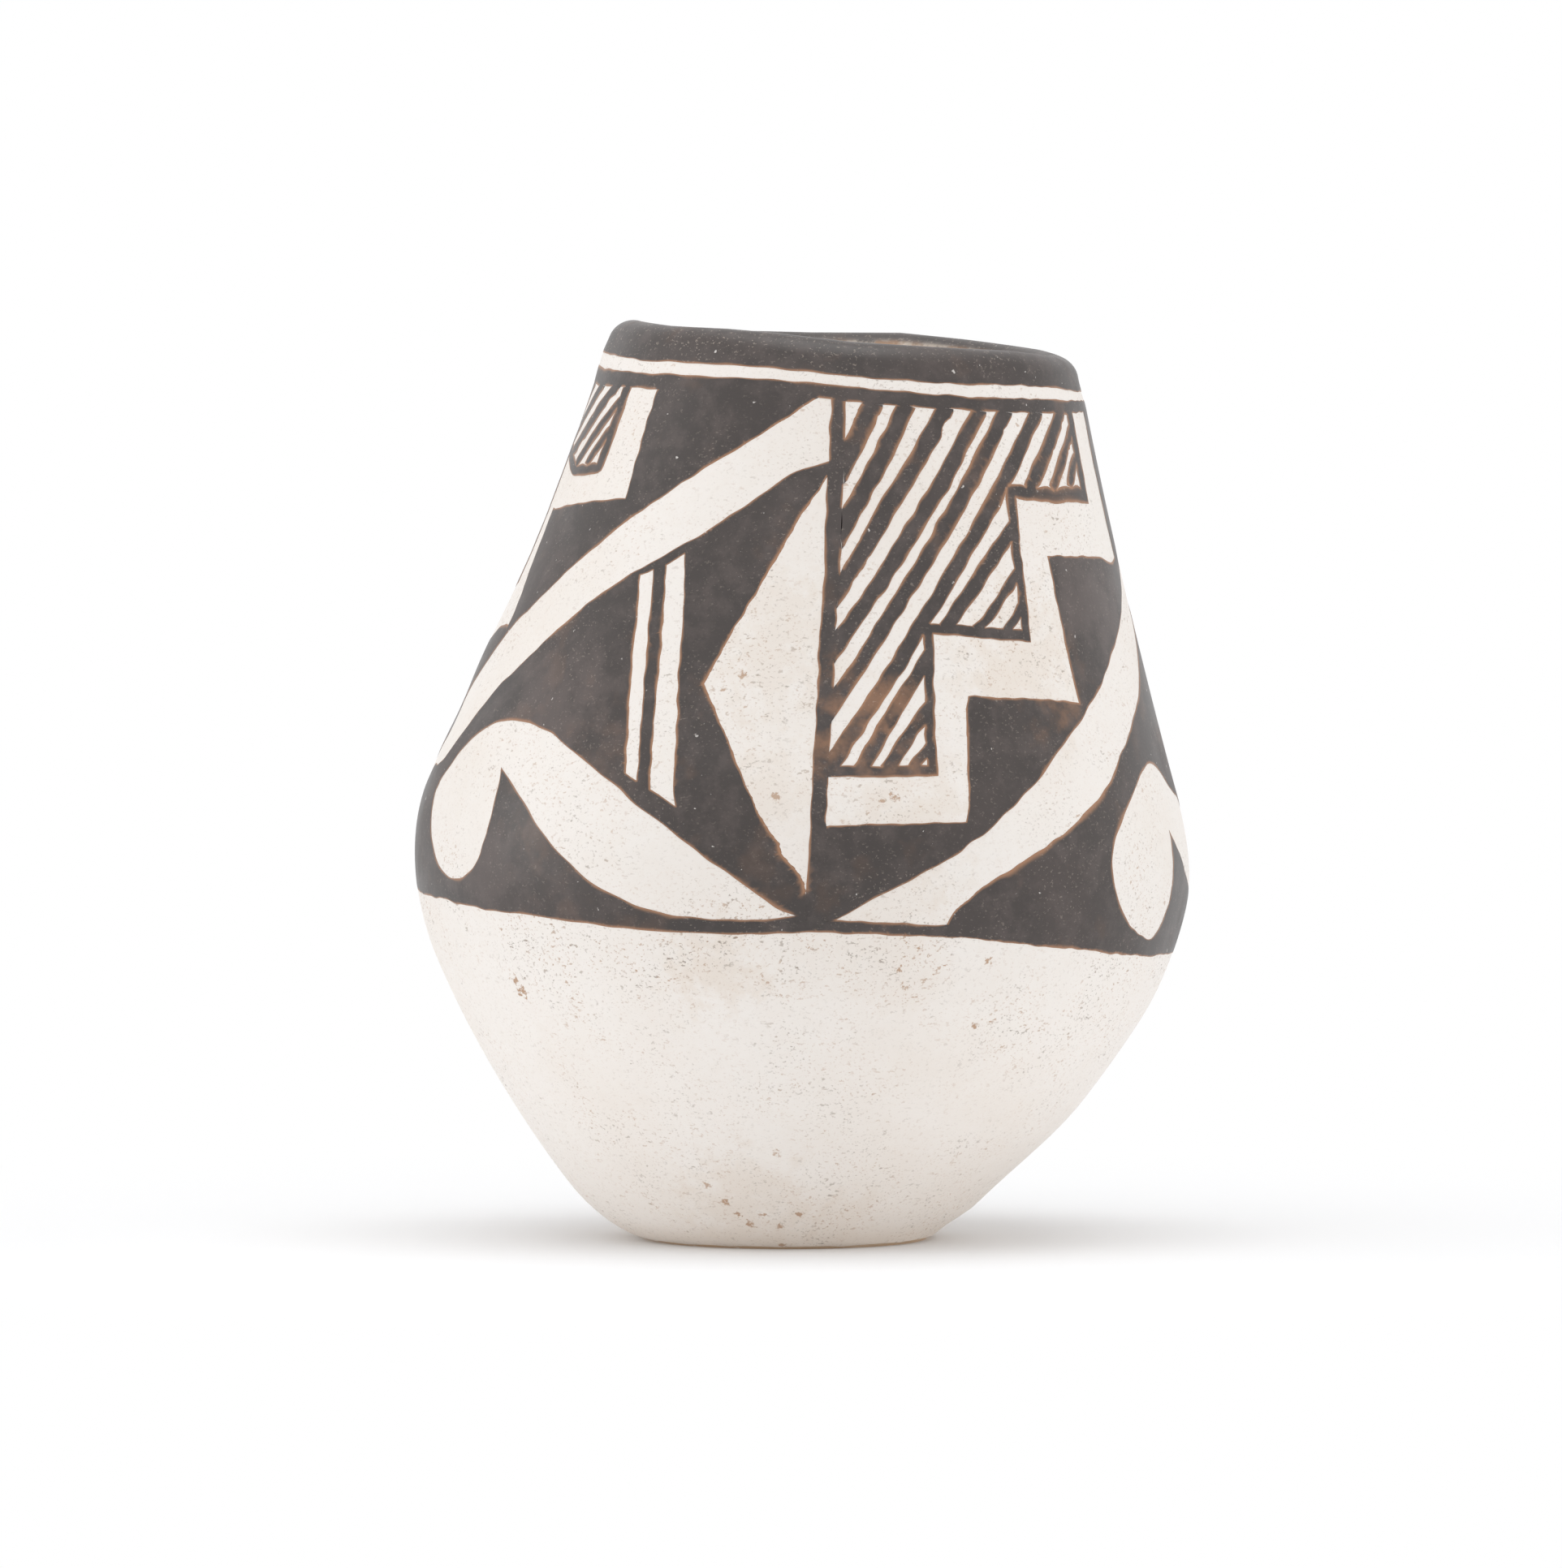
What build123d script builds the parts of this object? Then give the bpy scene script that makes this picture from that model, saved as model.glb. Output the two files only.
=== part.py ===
"""A small coil-built pottery jar with a white slip and a black painted field in three repeats.

Millimetres and degrees. The floor is Z = 0, the front of the jar faces -Y, and the jar leans towards +X.
Heights are measured along the leaning axis from the floor.
"""

import os
from math import cos, radians, sin, sqrt, tan

from build123d import *

# Outline of the jar, measured on the face of the slip
belly_radius = 37.5
belly_height = 37.0
bend_radius = 27.0
bend_below = 28.0
bend_above = 21.0
foot_radius = 16.1
foot_rounding = 10.5
sole_radius = 12.7
mouth_radius = 22.4
wall_height = 86.9
lean = 5.1

# Clay, slip and paint
clay_thickness = 3.6
floor_thickness = 5.5
floor_rounding = 9.0
slip_thickness = 0.4
slip_inside = 8.0
slip_clearance = 0.6
paint_thickness = 0.12

# Coils of the wall
base_height = 20.0
rim_coil_height = 3.9
coil_count = 7
scarf_angle = 38.0

# Painted lines and field
rim_band_width = 2.0
neck_line_drop = 4.7
neck_line_width = 1.4
base_line_drop = 5.6
base_line_width = 1.2
divider_width = 1.5
divider_lean = 3.2
divider_angles = (0.6, 130.0, 235.0)
broad_stroke = 1.3
fine_stroke = 0.9
outline_stroke = 1.0

# Places in a panel, in percent: across from one divider to the next, and up from the base line
terrace_steps = ((0, 18.5), (2, 19.5), (18.1, 22.2), (19.4, 46), (38.8, 46), (37.3, 73.5), (62, 77),
                 (61, 92), (61.4, 103), (98, 103))
arc_upper_edge = ((96.5, 101), (90.5, 96.5), (81, 89.2), (72, 81.3), (57, 64.5), (39.5, 44), (21, 21),
                  (12, 10), (4, 1.5))
arc_lower_edge = ((16.3, -3), (18.5, 6), (22, 11), (28.8, 18.2), (42.3, 32), (57.5, 50), (72, 67.2),
                  (87, 81.2), (94, 87.3), (98, 88.7))
triangle = ((98.2, 86), (84.2, 45), (88, 36.5), (92.8, 24.5), (96.8, 15.5), (100.5, 6.5), (105, 6.5),
            (105, 86))
leaf_stripes = (
    ((69.7, 63.3), (71.8, 65), (78.2, 25.4), (76.4, 26.4)),
    ((73.9, 66.5), (76.6, 69.2), (83.8, 21.2), (80.2, 23.8)),
)
hook_back = ((99.4, 1.5), (90.5, 10), (81, 19), (71, 26.8), (62, 31.2), (54, 32), (47.2, 29), (42.5, 24),
             (40, 16), (43, 5.5), (48.5, 2), (53, 4), (56, 11), (56.4, 23.5))
hook_front = ((56.4, 23.5), (60, 19.8), (66.5, 12.3), (73.5, 6), (80, 2.2), (88, 0.6), (99.4, 1.5))
hatched_steps = ((51.8, 102), (51.8, 85.3), (31, 85.3), (30.4, 58), (14.2, 58), (14.2, 31.5), (-1, 29.5))
broad_strokes = (
    ((-3, 79.5), (2.7, 94.5), (5.5, 102)),
    ((-3, 66.3), (5.8, 88), (11.6, 102)),
    ((-3, 53.4), (9.6, 83.7), (19.4, 102)),
    ((-3, 43.2), (13.1, 78.4), (26.8, 102)),
    ((-3, 31), (15.4, 73.4), (32.9, 102)),
    ((-3, 18.2), (16.9, 65.9), (41.4, 102)),
    ((5.1, 30), (15.4, 55.4), (31, 79)),
    ((8.5, 31), (11.5, 37.9), (15, 45)),
    ((35.2, 85.8), (41.5, 93.5), (49.2, 102)),
)
fine_strokes = (
    ((20.8, 57.5), (25.8, 63.7), (31, 71)),
    ((41.5, 86.5), (46.2, 92.1), (53, 99)),
    ((11.7, 31.5), (13.1, 34.3), (15, 37.4)),
    ((26.3, 58), (28.5, 60.9), (31, 64.8)),
    ((46.9, 86.5), (49.2, 90.1), (53, 93.2)),
)
hatched_facing = 26
panel_facing = 50
overrun = 4

# Axis of the jar, which passes over the origin at the height of the belly
front = Vector(0, -1, 0)
axis_up = Vector(0, 0, 1).rotate(Axis.Y, lean)
axis_foot = Vector(-belly_height * tan(radians(lean)), 0, 0)
jar_axis = Axis(axis_foot, axis_up)
section = Plane(axis_foot, x_dir=axis_up.cross(front), z_dir=front)
sole_level = -sole_radius * tan(radians(lean))
ground_depth = 2 * foot_radius * tan(radians(lean))
reach = 2 * belly_radius
sky = 2 * wall_height

# Arcs of the wall: centre, radius, and 1 where the centre is inside the jar or -1 where it is outside
belly_centre = Vector(belly_radius - bend_radius, belly_height)
below_normal = Vector(cos(radians(bend_below)), -sin(radians(bend_below)))
above_normal = Vector(cos(radians(bend_above)), sin(radians(bend_above)))
bend_bottom = belly_centre + below_normal * bend_radius
bend_top = belly_centre + above_normal * bend_radius


def tangent_arc(start, normal, end):
    """The arc that leaves the start square to the normal and reaches the end."""
    chord = end - start
    signed_radius = -chord.dot(chord) / (2 * chord.dot(normal))
    side = 1 if signed_radius > 0 else -1
    return start - normal * signed_radius, abs(signed_radius), side


rim_point = Vector(mouth_radius, wall_height)
lower_arc = tangent_arc(bend_bottom, below_normal, Vector(foot_radius, 0))
belly_arc = (belly_centre, bend_radius, 1)
upper_arc = tangent_arc(bend_top, above_normal, rim_point)
rim_normal = (rim_point - upper_arc[0]).normalized() * upper_arc[2]
rim_up = Vector(-rim_normal.Y, rim_normal.X)
lip_radius = clay_thickness / 2
slip_lip_radius = lip_radius + slip_thickness
lip_centre = rim_point - rim_normal * slip_lip_radius

# Depths under the face of the slip
clay_face = slip_thickness
clay_inside = slip_thickness + clay_thickness
slip_lining = clay_inside + slip_thickness
paint_face = -paint_thickness

# Heights of the painted lines and of the field between them
base_line_bottom = belly_height - base_line_drop
field_bottom = base_line_bottom + base_line_width
field_top = wall_height - neck_line_drop
neck_line_top = field_top + neck_line_width
rim_band_bottom = wall_height - rim_band_width


def arc_point(arc, height, depth):
    """The point of an arc at a height, a depth under the face of the slip."""
    centre, radius, side = arc
    rise = height - centre.Y
    return Vector(centre.X + side * sqrt((radius - side * depth) ** 2 - rise**2), height)


def radius_at(height):
    """The radius of the jar at a height, on the face of the slip."""
    if height < bend_bottom.Y:
        return arc_point(lower_arc, height, 0).X
    if height < bend_top.Y:
        return arc_point(belly_arc, height, 0).X
    return arc_point(upper_arc, height, 0).X


def wall_line(depth):
    """Draws the line of the wall from under the floor to the lip and returns its two ends."""
    bottom = arc_point(lower_arc, -ground_depth, depth)
    bend_start = bend_bottom - below_normal * depth
    bend_end = bend_top - above_normal * depth
    top = rim_point - rim_normal * depth
    ThreePointArc(bottom, arc_point(lower_arc, (bottom.Y + bend_start.Y) / 2, depth), bend_start)
    ThreePointArc(bend_start, (belly_radius - depth, belly_height), bend_end)
    ThreePointArc(bend_end, arc_point(upper_arc, (bend_end.Y + top.Y) / 2, depth), top)
    return bottom, top


def wall_face(outer_depth, inner_depth):
    """A face between two lines of the wall."""
    with BuildLine() as border:
        outer_bottom, outer_top = wall_line(outer_depth)
        inner_bottom, inner_top = wall_line(inner_depth)
        Line(outer_bottom, inner_bottom)
        Line(outer_top, inner_top)
    make_face(border.edges())


def filled_face(depth, level, rounding):
    """A sketch from a line of the wall in to the axis, above a level, with its lower corner rounded."""
    with BuildSketch(section) as filled:
        with BuildLine():
            bottom, top = wall_line(depth)
            Polyline(top, (0, top.Y), (0, bottom.Y), bottom)
        make_face()
        trim_heights(level, sky)
        fillet(filled.vertices().group_by(Axis.Y)[0].sort_by(Axis.X)[-1], rounding)
    return filled


def lip_face(inner_radius, outer_radius):
    """Half a ring over the lip."""
    with BuildLine() as border:
        for radius in (inner_radius, outer_radius):
            side = rim_normal * radius
            ThreePointArc(lip_centre + side, lip_centre + rim_up * radius, lip_centre - side)
        Line(lip_centre + rim_normal * inner_radius, lip_centre + rim_normal * outer_radius)
        Line(lip_centre - rim_normal * inner_radius, lip_centre - rim_normal * outer_radius)
    make_face(border.edges())


def trim_heights(low, high):
    """Keeps what lies between two heights."""
    with Locations((0, (low + high) / 2)):
        Rectangle(2 * reach, high - low, mode=Mode.INTERSECT)


def joint_line(height):
    """The outer and inner ends of a scarf joint, past both faces of the wall."""
    slope = Vector(cos(radians(scarf_angle)), sin(radians(scarf_angle)))
    middle = Vector(radius_at(height) - clay_inside / 2, height)
    return middle + slope * 2 * clay_inside, middle - slope * 2 * clay_inside


def trim_joints(low_joint, high_joint):
    """Keeps what lies between two scarf joints."""
    with BuildLine() as border:
        Polyline(*low_joint, *reversed(high_joint), close=True)
    make_face(border.edges(), mode=Mode.INTERSECT)


def painted_ring(low, high):
    """A film of paint all round the jar between two heights."""
    with BuildSketch(section) as film:
        wall_face(paint_face, 0)
        trim_heights(low, high)
    revolve(film.sketch, axis=jar_axis)


def stencil(angle):
    """A plane through the axis that faces an angle, from the front round to +X."""
    facing = front.rotate(jar_axis, angle)
    return Plane(axis_foot, x_dir=axis_up.cross(facing), z_dir=facing)


def panel_span(number):
    """The start and the width of a panel."""
    start = divider_angles[number]
    end = divider_angles[(number + 1) % len(divider_angles)]
    return start, (end - start) % 360


def in_panel(number, facing, places):
    """Stencil points of places in a panel, on the stencil that faces a percentage across it."""
    width = panel_span(number)[1]
    points = []
    for across, up in places:
        height = field_bottom + (field_top - field_bottom) * up / 100
        turn = radians(width * (across - facing) / 100)
        points.append(Vector(radius_at(height) * sin(turn), height))
    return points


def panel_stencil(number, facing):
    """The stencil that faces a percentage across a panel."""
    start, width = panel_span(number)
    return stencil(start + width * facing / 100)


def divider_face(left, right):
    """A face from a distance left of the upright line's middle to a distance right of it."""
    half_turn = sin(radians(divider_lean / 2))
    bottom = Vector(radius_at(field_bottom) * half_turn, field_bottom)
    top = Vector(-radius_at(field_top) * half_turn, field_top)
    up = (top - bottom).normalized()
    across = Vector(up.Y, -up.X)
    low = bottom - up * (left + right)
    high = top + up * (left + right)
    with BuildLine() as border:
        Polyline(low - across * left, low + across * right, high + across * right, high - across * left,
                 close=True)
    make_face(border.edges())


def trim_to_dividers(number):
    """Takes away what runs under or past the dividers at both ends of a panel."""
    start, width = panel_span(number)
    half_width = divider_width / 2
    for angle, left, right in ((start, bend_radius, half_width), (start + width, half_width, bend_radius)):
        with BuildSketch(stencil(angle)) as beyond:
            divider_face(left, right)
        extrude(beyond.sketch, amount=reach, mode=Mode.SUBTRACT)


def finish(builder, name):
    """Names a piece and writes it."""
    builder.part.label = name
    export_step(builder.part, f"parts/{name}.step")
    volume = builder.part.volume
    print(f"{name}: {len(builder.part.solids())} solids, {volume:.1f} cubic mm")


os.makedirs("parts", exist_ok=True)

# Clay, from the pressed base up the coils to the lip
coil_height = (wall_height - rim_coil_height - base_height) / coil_count
joints = [joint_line(base_height + coil_height * step) for step in range(coil_count + 1)]
sky_joint = [end + Vector(0, wall_height) for end in joints[coil_count]]

clay_body = filled_face(clay_face, sole_level, foot_rounding - slip_thickness)
hollow = filled_face(clay_inside, floor_thickness, floor_rounding)

with BuildPart() as base:
    with BuildSketch(section):
        add(clay_body.sketch_local)
        with BuildLine():
            outer, inner = joints[0]
            Polyline(outer, inner, (0, inner.Y), (0, -ground_depth), (outer.X, -ground_depth), close=True)
        make_face(mode=Mode.INTERSECT)
        add(hollow.sketch_local, mode=Mode.SUBTRACT)
    revolve(axis=jar_axis)
    split(bisect_by=Plane.XY)
finish(base, "base")

for number in range(coil_count):
    with BuildPart() as wall_coil:
        with BuildSketch(section):
            wall_face(clay_face, clay_inside)
            trim_joints(joints[number], joints[number + 1])
        revolve(axis=jar_axis)
    finish(wall_coil, f"wall_coil_{number + 1}")

with BuildPart() as rim_coil:
    with BuildSketch(section):
        wall_face(clay_face, clay_inside)
        with Locations(lip_centre):
            Circle(lip_radius)
        trim_joints(joints[coil_count], sky_joint)
    revolve(axis=jar_axis)
finish(rim_coil, "rim_coil")

# White slip over the outside, the lip and the top of the inside
with BuildSketch(section) as lining:
    wall_face(clay_inside, slip_lining)
    trim_heights(wall_height - slip_inside, sky)

with BuildSketch(section) as foot_skin:
    add(filled_face(0, sole_level, foot_rounding).sketch_local)
    add(clay_body.sketch_local, mode=Mode.SUBTRACT)
    trim_heights(-ground_depth, base_height)

with BuildPart() as white_slip:
    with BuildSketch(section):
        wall_face(0, clay_face)
        trim_heights(base_height, sky)
        lip_face(lip_radius, slip_lip_radius)
        add(lining.sketch_local)
        add(foot_skin.sketch_local)
    revolve(axis=jar_axis)
    split(bisect_by=Plane.XY.offset(slip_clearance))
finish(white_slip, "white_slip")

# Black lines round the jar
with BuildPart() as rim_band:
    with BuildSketch(section):
        wall_face(paint_face, 0)
        trim_heights(rim_band_bottom, sky)
        lip_face(slip_lip_radius, slip_lip_radius + paint_thickness)
    revolve(axis=jar_axis)
finish(rim_band, "rim_band")

with BuildPart() as neck_line:
    painted_ring(field_top, neck_line_top)
finish(neck_line, "neck_line")

with BuildPart() as base_line:
    painted_ring(base_line_bottom, field_bottom)
finish(base_line, "base_line")

# Black figures of the three panels, with the corners of each that lie past the panel's edges
hatched_corners = ((-overrun, hatched_steps[-1][1]), (-overrun, 100 + overrun))
terrace_corners = ((0, -overrun), *terrace_steps)
leaf_corners = ((100 + overrun, arc_lower_edge[-1][1]), (100 + overrun, -overrun))

for number, angle in enumerate(divider_angles):
    with BuildPart() as divider:
        painted_ring(field_bottom, field_top)
        with BuildSketch(stencil(angle)):
            divider_face(divider_width / 2, divider_width / 2)
        extrude(amount=reach, mode=Mode.INTERSECT)
    finish(divider, f"divider_{number + 1}")

    with BuildPart() as hatched_step:
        painted_ring(field_bottom, field_top)
        with BuildSketch(panel_stencil(number, hatched_facing)):
            for strokes, stroke_width in ((broad_strokes, broad_stroke), (fine_strokes, fine_stroke)):
                for stroke in strokes:
                    with BuildLine():
                        ThreePointArc(*in_panel(number, hatched_facing, stroke))
                    trace(line_width=stroke_width)
            steps = in_panel(number, hatched_facing, hatched_steps)
            with BuildLine():
                Polyline(*steps, *in_panel(number, hatched_facing, hatched_corners), close=True)
            make_face(mode=Mode.INTERSECT)
            with BuildLine():
                Polyline(*steps)
            trace(line_width=outline_stroke)
        extrude(amount=reach, mode=Mode.INTERSECT)
        trim_to_dividers(number)
    finish(hatched_step, f"hatched_step_{number + 1}")

    with BuildPart() as terrace:
        painted_ring(field_bottom, field_top)
        with BuildSketch(panel_stencil(number, panel_facing)):
            with BuildLine():
                edge = Spline(*in_panel(number, panel_facing, arc_upper_edge))
                Polyline(edge @ 1, *in_panel(number, panel_facing, terrace_corners), edge @ 0)
            make_face()
        extrude(amount=reach, mode=Mode.INTERSECT)
        trim_to_dividers(number)
    finish(terrace, f"terrace_{number + 1}")

    with BuildPart() as leaf:
        painted_ring(field_bottom, field_top)
        with BuildSketch(panel_stencil(number, panel_facing)):
            with BuildLine():
                edge = Spline(*in_panel(number, panel_facing, arc_lower_edge))
                Polyline(edge @ 1, *in_panel(number, panel_facing, leaf_corners), edge @ 0)
            make_face()
            for reserve in (triangle, *leaf_stripes):
                with BuildLine():
                    Polyline(*in_panel(number, panel_facing, reserve), close=True)
                make_face(mode=Mode.SUBTRACT)
            with BuildLine():
                Spline(*in_panel(number, panel_facing, hook_back))
                Spline(*in_panel(number, panel_facing, hook_front))
            make_face(mode=Mode.SUBTRACT)
        extrude(amount=reach, mode=Mode.INTERSECT)
        trim_to_dividers(number)
    finish(leaf, f"leaf_{number + 1}")
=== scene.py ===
"""A hand-built pottery jar: fired clay, a polished white slip and a black mineral paint.

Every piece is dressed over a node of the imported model, in metres and in its frame. The floor is z = 0, the
front faces -Y and the jar leans towards +X. Places on the jar are an angle round its axis, from the front
towards +X, a distance from the axis, and a height along the axis from the floor. Tables of places hold
degrees and millimetres, and single values are in metres.
"""

from math import atan2, cos, pi, radians, sin, sqrt, tan

import bmesh
import bpy
import numpy as np
from bpy.props import FloatProperty, FloatVectorProperty, IntProperty, PointerProperty
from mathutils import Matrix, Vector
from mathutils.bvhtree import BVHTree
from mathutils.kdtree import KDTree


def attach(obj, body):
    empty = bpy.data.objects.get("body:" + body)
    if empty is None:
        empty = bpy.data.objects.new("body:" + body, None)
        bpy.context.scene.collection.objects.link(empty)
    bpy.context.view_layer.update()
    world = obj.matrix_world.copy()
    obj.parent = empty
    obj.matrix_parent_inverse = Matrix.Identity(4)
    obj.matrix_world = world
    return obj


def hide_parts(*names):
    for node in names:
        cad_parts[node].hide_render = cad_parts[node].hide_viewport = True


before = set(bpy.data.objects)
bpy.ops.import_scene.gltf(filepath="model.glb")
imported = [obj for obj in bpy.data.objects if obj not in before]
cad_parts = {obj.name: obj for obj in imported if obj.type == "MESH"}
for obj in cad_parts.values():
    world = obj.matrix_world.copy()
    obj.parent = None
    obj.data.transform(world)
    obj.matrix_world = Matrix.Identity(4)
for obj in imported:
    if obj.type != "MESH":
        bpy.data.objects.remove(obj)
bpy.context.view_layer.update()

bl_info = {
    "name": "Pottery jar",
    "version": (1, 0, 0),
    "blender": (4, 5, 0),
    "location": "3D View > Sidebar > Jar",
    "description": "Builds a coil-built jar with a white slip and a black painted field",
    "category": "Add Mesh",
}

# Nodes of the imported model
LINES = ("rim_band", "neck_line", "base_line")
FIGURES = ("divider", "hatched_step", "terrace", "leaf")
PANELS = (1, 2, 3)
COILS = (1, 2, 3, 4, 5, 6, 7)

# How far up the brush strayed from each line and from the field, at angles round the jar
BASE_LINE_STRAY = ((-100, -0.5), (-60, -0.8), (-25, -0.95), (-15, -0.65), (-8, -0.3), (0, 0.4), (6, 0.8),
                   (25, 1.1), (40, 0.8), (55, 0.3), (70, 0.0), (100, -0.2))
FIELD_STRAY = ((-100, 0.0), (-45, 0.1), (-36, -0.3), (-28, -0.6), (-8, -0.5), (-1, -0.2), (3, 0.0), (48, 0.0),
               (56, -0.3), (66, -0.7), (76, -1.1), (100, -0.4))
NECK_LINE_STRAY = ((-100, -0.8), (-75, -0.9), (-52, -0.7), (-38, -0.3), (-15, 0.0), (20, 0.0), (45, 0.25),
                   (65, 0.4), (80, 0.7), (100, 0.5))
RIM_BAND_STRAY = ((-100, -0.2), (-70, -0.25), (-58, -0.55), (-45, -0.3), (-30, 0.0), (30, 0.05), (48, 0.3),
                  (62, 0.5), (80, 0.3))

# The height at which each stray is whole
STRAYS = (
    (32.5, BASE_LINE_STRAY),
    (40.0, FIELD_STRAY),
    (74.0, FIELD_STRAY),
    (82.2, NECK_LINE_STRAY),
    (85.0, RIM_BAND_STRAY),
)

# Where figures are out of place: start of the name, angle, height, reach, slip across and slip up
FIGURE_SLIPS = (
    ("", -57, 58.5, 8.0, 0.0, 0.75),
    ("", -76, 47.5, 4.5, 0.0, -3.0),
    ("", -62, 75.0, 3.5, 0.0, -1.4),
    ("", -73, 75.0, 3.5, 0.0, -1.6),
    ("", -78, 56.5, 5.0, 1.5, 2.2),
    ("", 66, 35.5, 2.2, 0.0, -1.1),
    ("", 66, 48.5, 4.0, 0.0, 1.2),
    ("", 73, 50.5, 3.5, 0.0, 2.2),
    ("", 78, 70.0, 4.0, 0.0, -0.8),
    ("leaf", -1, 36.2, 2.6, 1.3, 0.0),
    ("leaf", -4, 33.6, 2.0, -1.0, -0.2),
    ("leaf", -2, 37.8, 1.5, 0.5, 0.0),
    ("leaf", 1, 35.0, 1.4, 0.3, 0.0),
    ("terrace", 5.5, 35.2, 2.2, 0.0, -0.7),
    ("hatched_step", 68, 74.5, 5.0, 0.0, 0.9),
)

# Where a dry brush left a wide thin border: figure, angle, height, reach and how much wider
DRY_EDGES = (
    ("leaf", 40, 44.0, 10.0, 1.8),
    ("terrace", 33, 51.0, 4.0, 1.0),
)

# Where a figure runs over its neighbour with a full border: figure, angle, height and reach
BLOTS = (
    ("leaf", 1, 34.6, 1.8),
    ("divider", 1, 34.4, 1.5),
    ("terrace", 1, 34.4, 1.5),
)

# Strokes of a loaded brush: figure, heights where they start to widen and are widest, and by how much
LOADED_STROKES = (
    ("hatched_step", 56.0, 78.0, 0.24),
)

# How far the lip rises or sinks at angles round the mouth
LIP_RISE = ((-170, -0.7), (-150, -1.1), (-120, -1.15), (-90, -0.75), (-55, -0.85), (-35, -0.55), (-20, -0.5),
            (0, -0.7), (50, -0.3), (90, -0.75), (115, -0.25), (145, 0.0), (165, 0.05))

# Lumps of the wall in rows: number round the jar, start, rise for a radian, and start of the rows
ROW_LUMPS = (2, 0.8, 23.0, 1.1)

# Lumps that wind up round the wall: strength, number round the jar, start, and rise for a radian
WINDING_LUMPS = (
    (0.7, 3, -1.7, 17.0),
    (0.5, 5, 0.0, 9.0),
)

# Where the foot is pressed in: side, depth, and the heights where the press starts, is whole, fades and ends
FOOT_PRESSES = (
    (1, 1.1, -2.0, 4.0, 6.0, 16.0),
    (1, 1.0, -9.0, -8.0, 1.8, 5.0),
    (-1, 0.5, -9.0, -8.0, 0.0, 3.5),
)

# Dents in the wall: angle, height, reach and depth
DENTS = (
    (-90, 46.5, 5.5, 0.75),
    (-90, 64.0, 11.0, 0.5),
    (-90, 86.0, 4.0, -0.55),
    (90, 38.0, 5.0, -0.4),
)

# Warm stains in the slip: angle, height, reach and share of the colour
STAINS = (
    (-12, 27.5, 6.0, 0.42),
    (-7, 4.5, 8.5, 0.32),
    (22, 4.0, 5.0, 0.20),
    (-6, 44.5, 7.0, 0.25),
    (16, 43.0, 9.0, 0.30),
    (-8, 58.5, 10.0, 0.30),
    (38, 59.0, 10.0, 0.35),
    (16, 29.5, 7.0, 0.12),
)

# Rusty spots in the slip: angle, height, reach and share of the colour
RUST_SPOTS = (
    (16, 29.0, 0.40, 0.85),
    (17, 27.5, 0.40, 0.80),
    (30, 30.5, 0.40, 0.85),
    (31, 24.0, 0.45, 0.90),
    (-50, 23.0, 0.70, 0.95),
    (-51, 24.0, 0.50, 0.90),
    (-6, 2.5, 0.50, 0.85),
    (5, 0.5, 0.45, 0.80),
    (-13, 4.5, 0.50, 0.85),
    (-9, 3.5, 0.45, 0.85),
    (8, 4.0, 0.45, 0.85),
    (-2, 3.5, 0.40, 0.80),
    (3, 2.5, 0.40, 0.80),
    (-17, 6.0, 0.40, 0.75),
    (0, 10.0, 0.40, 0.65),
    (13, 45.5, 0.50, 0.80),
    (11, 45.0, 0.35, 0.75),
    (-13, 55.5, 0.45, 0.75),
    (-16, 54.0, 0.35, 0.75),
    (-5, 44.5, 0.50, 0.75),
)

# Thin brown places in the paint: angle, height, reach and share of the colour
THIN_PLACES = (
    (8, 52.0, 7.5, 0.55),
    (43, 57.0, 6.0, 0.40),
    (-41, 42.0, 11.0, 0.10),
)

# Grey places in the paint, partly rubbed and partly a painted sheen of light: angle, height, reach and share
# of the colour
WORN_AND_SHEEN_PLACES = (
    (-48, 50.0, 10.0, 0.55),
    (-54, 34.0, 8.0, 0.50),
    (62, 65.5, 9.0, 0.55),
)

# Flecks in the slip, fine ones first: scale, flatness, least level of the noise and share of the colour
SLIP_FLECKS = (
    (3300.0, 1.2, 0.590, 0.42),
    (1700.0, 1.6, 0.620, 0.62),
    (850.0, 2.2, 0.675, 0.85),
)

# Lamps: name, setting of the stage, place, size, share of the setting, and whether gloss shows them
LAMPS = (
    ("top_lamp", "top_light", (0.0, -0.15, 1.0), 1.0, 1.0, True),
    ("left_lamp", "side_light", (-0.95, -0.15, 0.06), 0.7, 1.0, True),
    ("right_lamp", "side_light", (0.95, -0.15, 0.06), 0.7, 0.85, False),
)

# What the lamps look at, the width of the camera's sensor in millimetres, and the whites of the stage
LAMP_AIM = (0, 0, 0.04)
SENSOR_WIDTH = 36.0
WHITE = (1.0, 1.0, 1.0)
FLOOR_WHITE = (0.925, 0.93, 0.94)

# Heights between which the lumps set in and the finger ridges start and end
LUMPS_START = (0.004, 0.018)
RIDGES_START = (0.014, 0.022)
RIDGES_END = (0.073, 0.079)

# The finger ridges: height of a coil and of the first ridge, and how uneven they are
COIL_HEIGHT = 0.009
FIRST_RIDGE = 0.0245
RIDGE_UNEVEN = 0.6

# Shares of the clay's thickness from which a point is on the inner face, and from which the slip is a lining
INNER_FACE = 0.9
LINING_START = 0.7

# Radii of the sole between which a press sets in, and how far down the lip's waves reach
PRESS_START = (0.004, 0.012)
LIP_WAVES = 0.004

# Depths under the rim over which strays of the brush fade out, and turns into the mouth that wear the paint
STRAY_END = (0.0012, 0.0002)
WORN_LIP = (0.42, 0.75)

# Nearness to a blot over which the border fills up
BLOT_EDGE = (0.3, 0.6)

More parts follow.
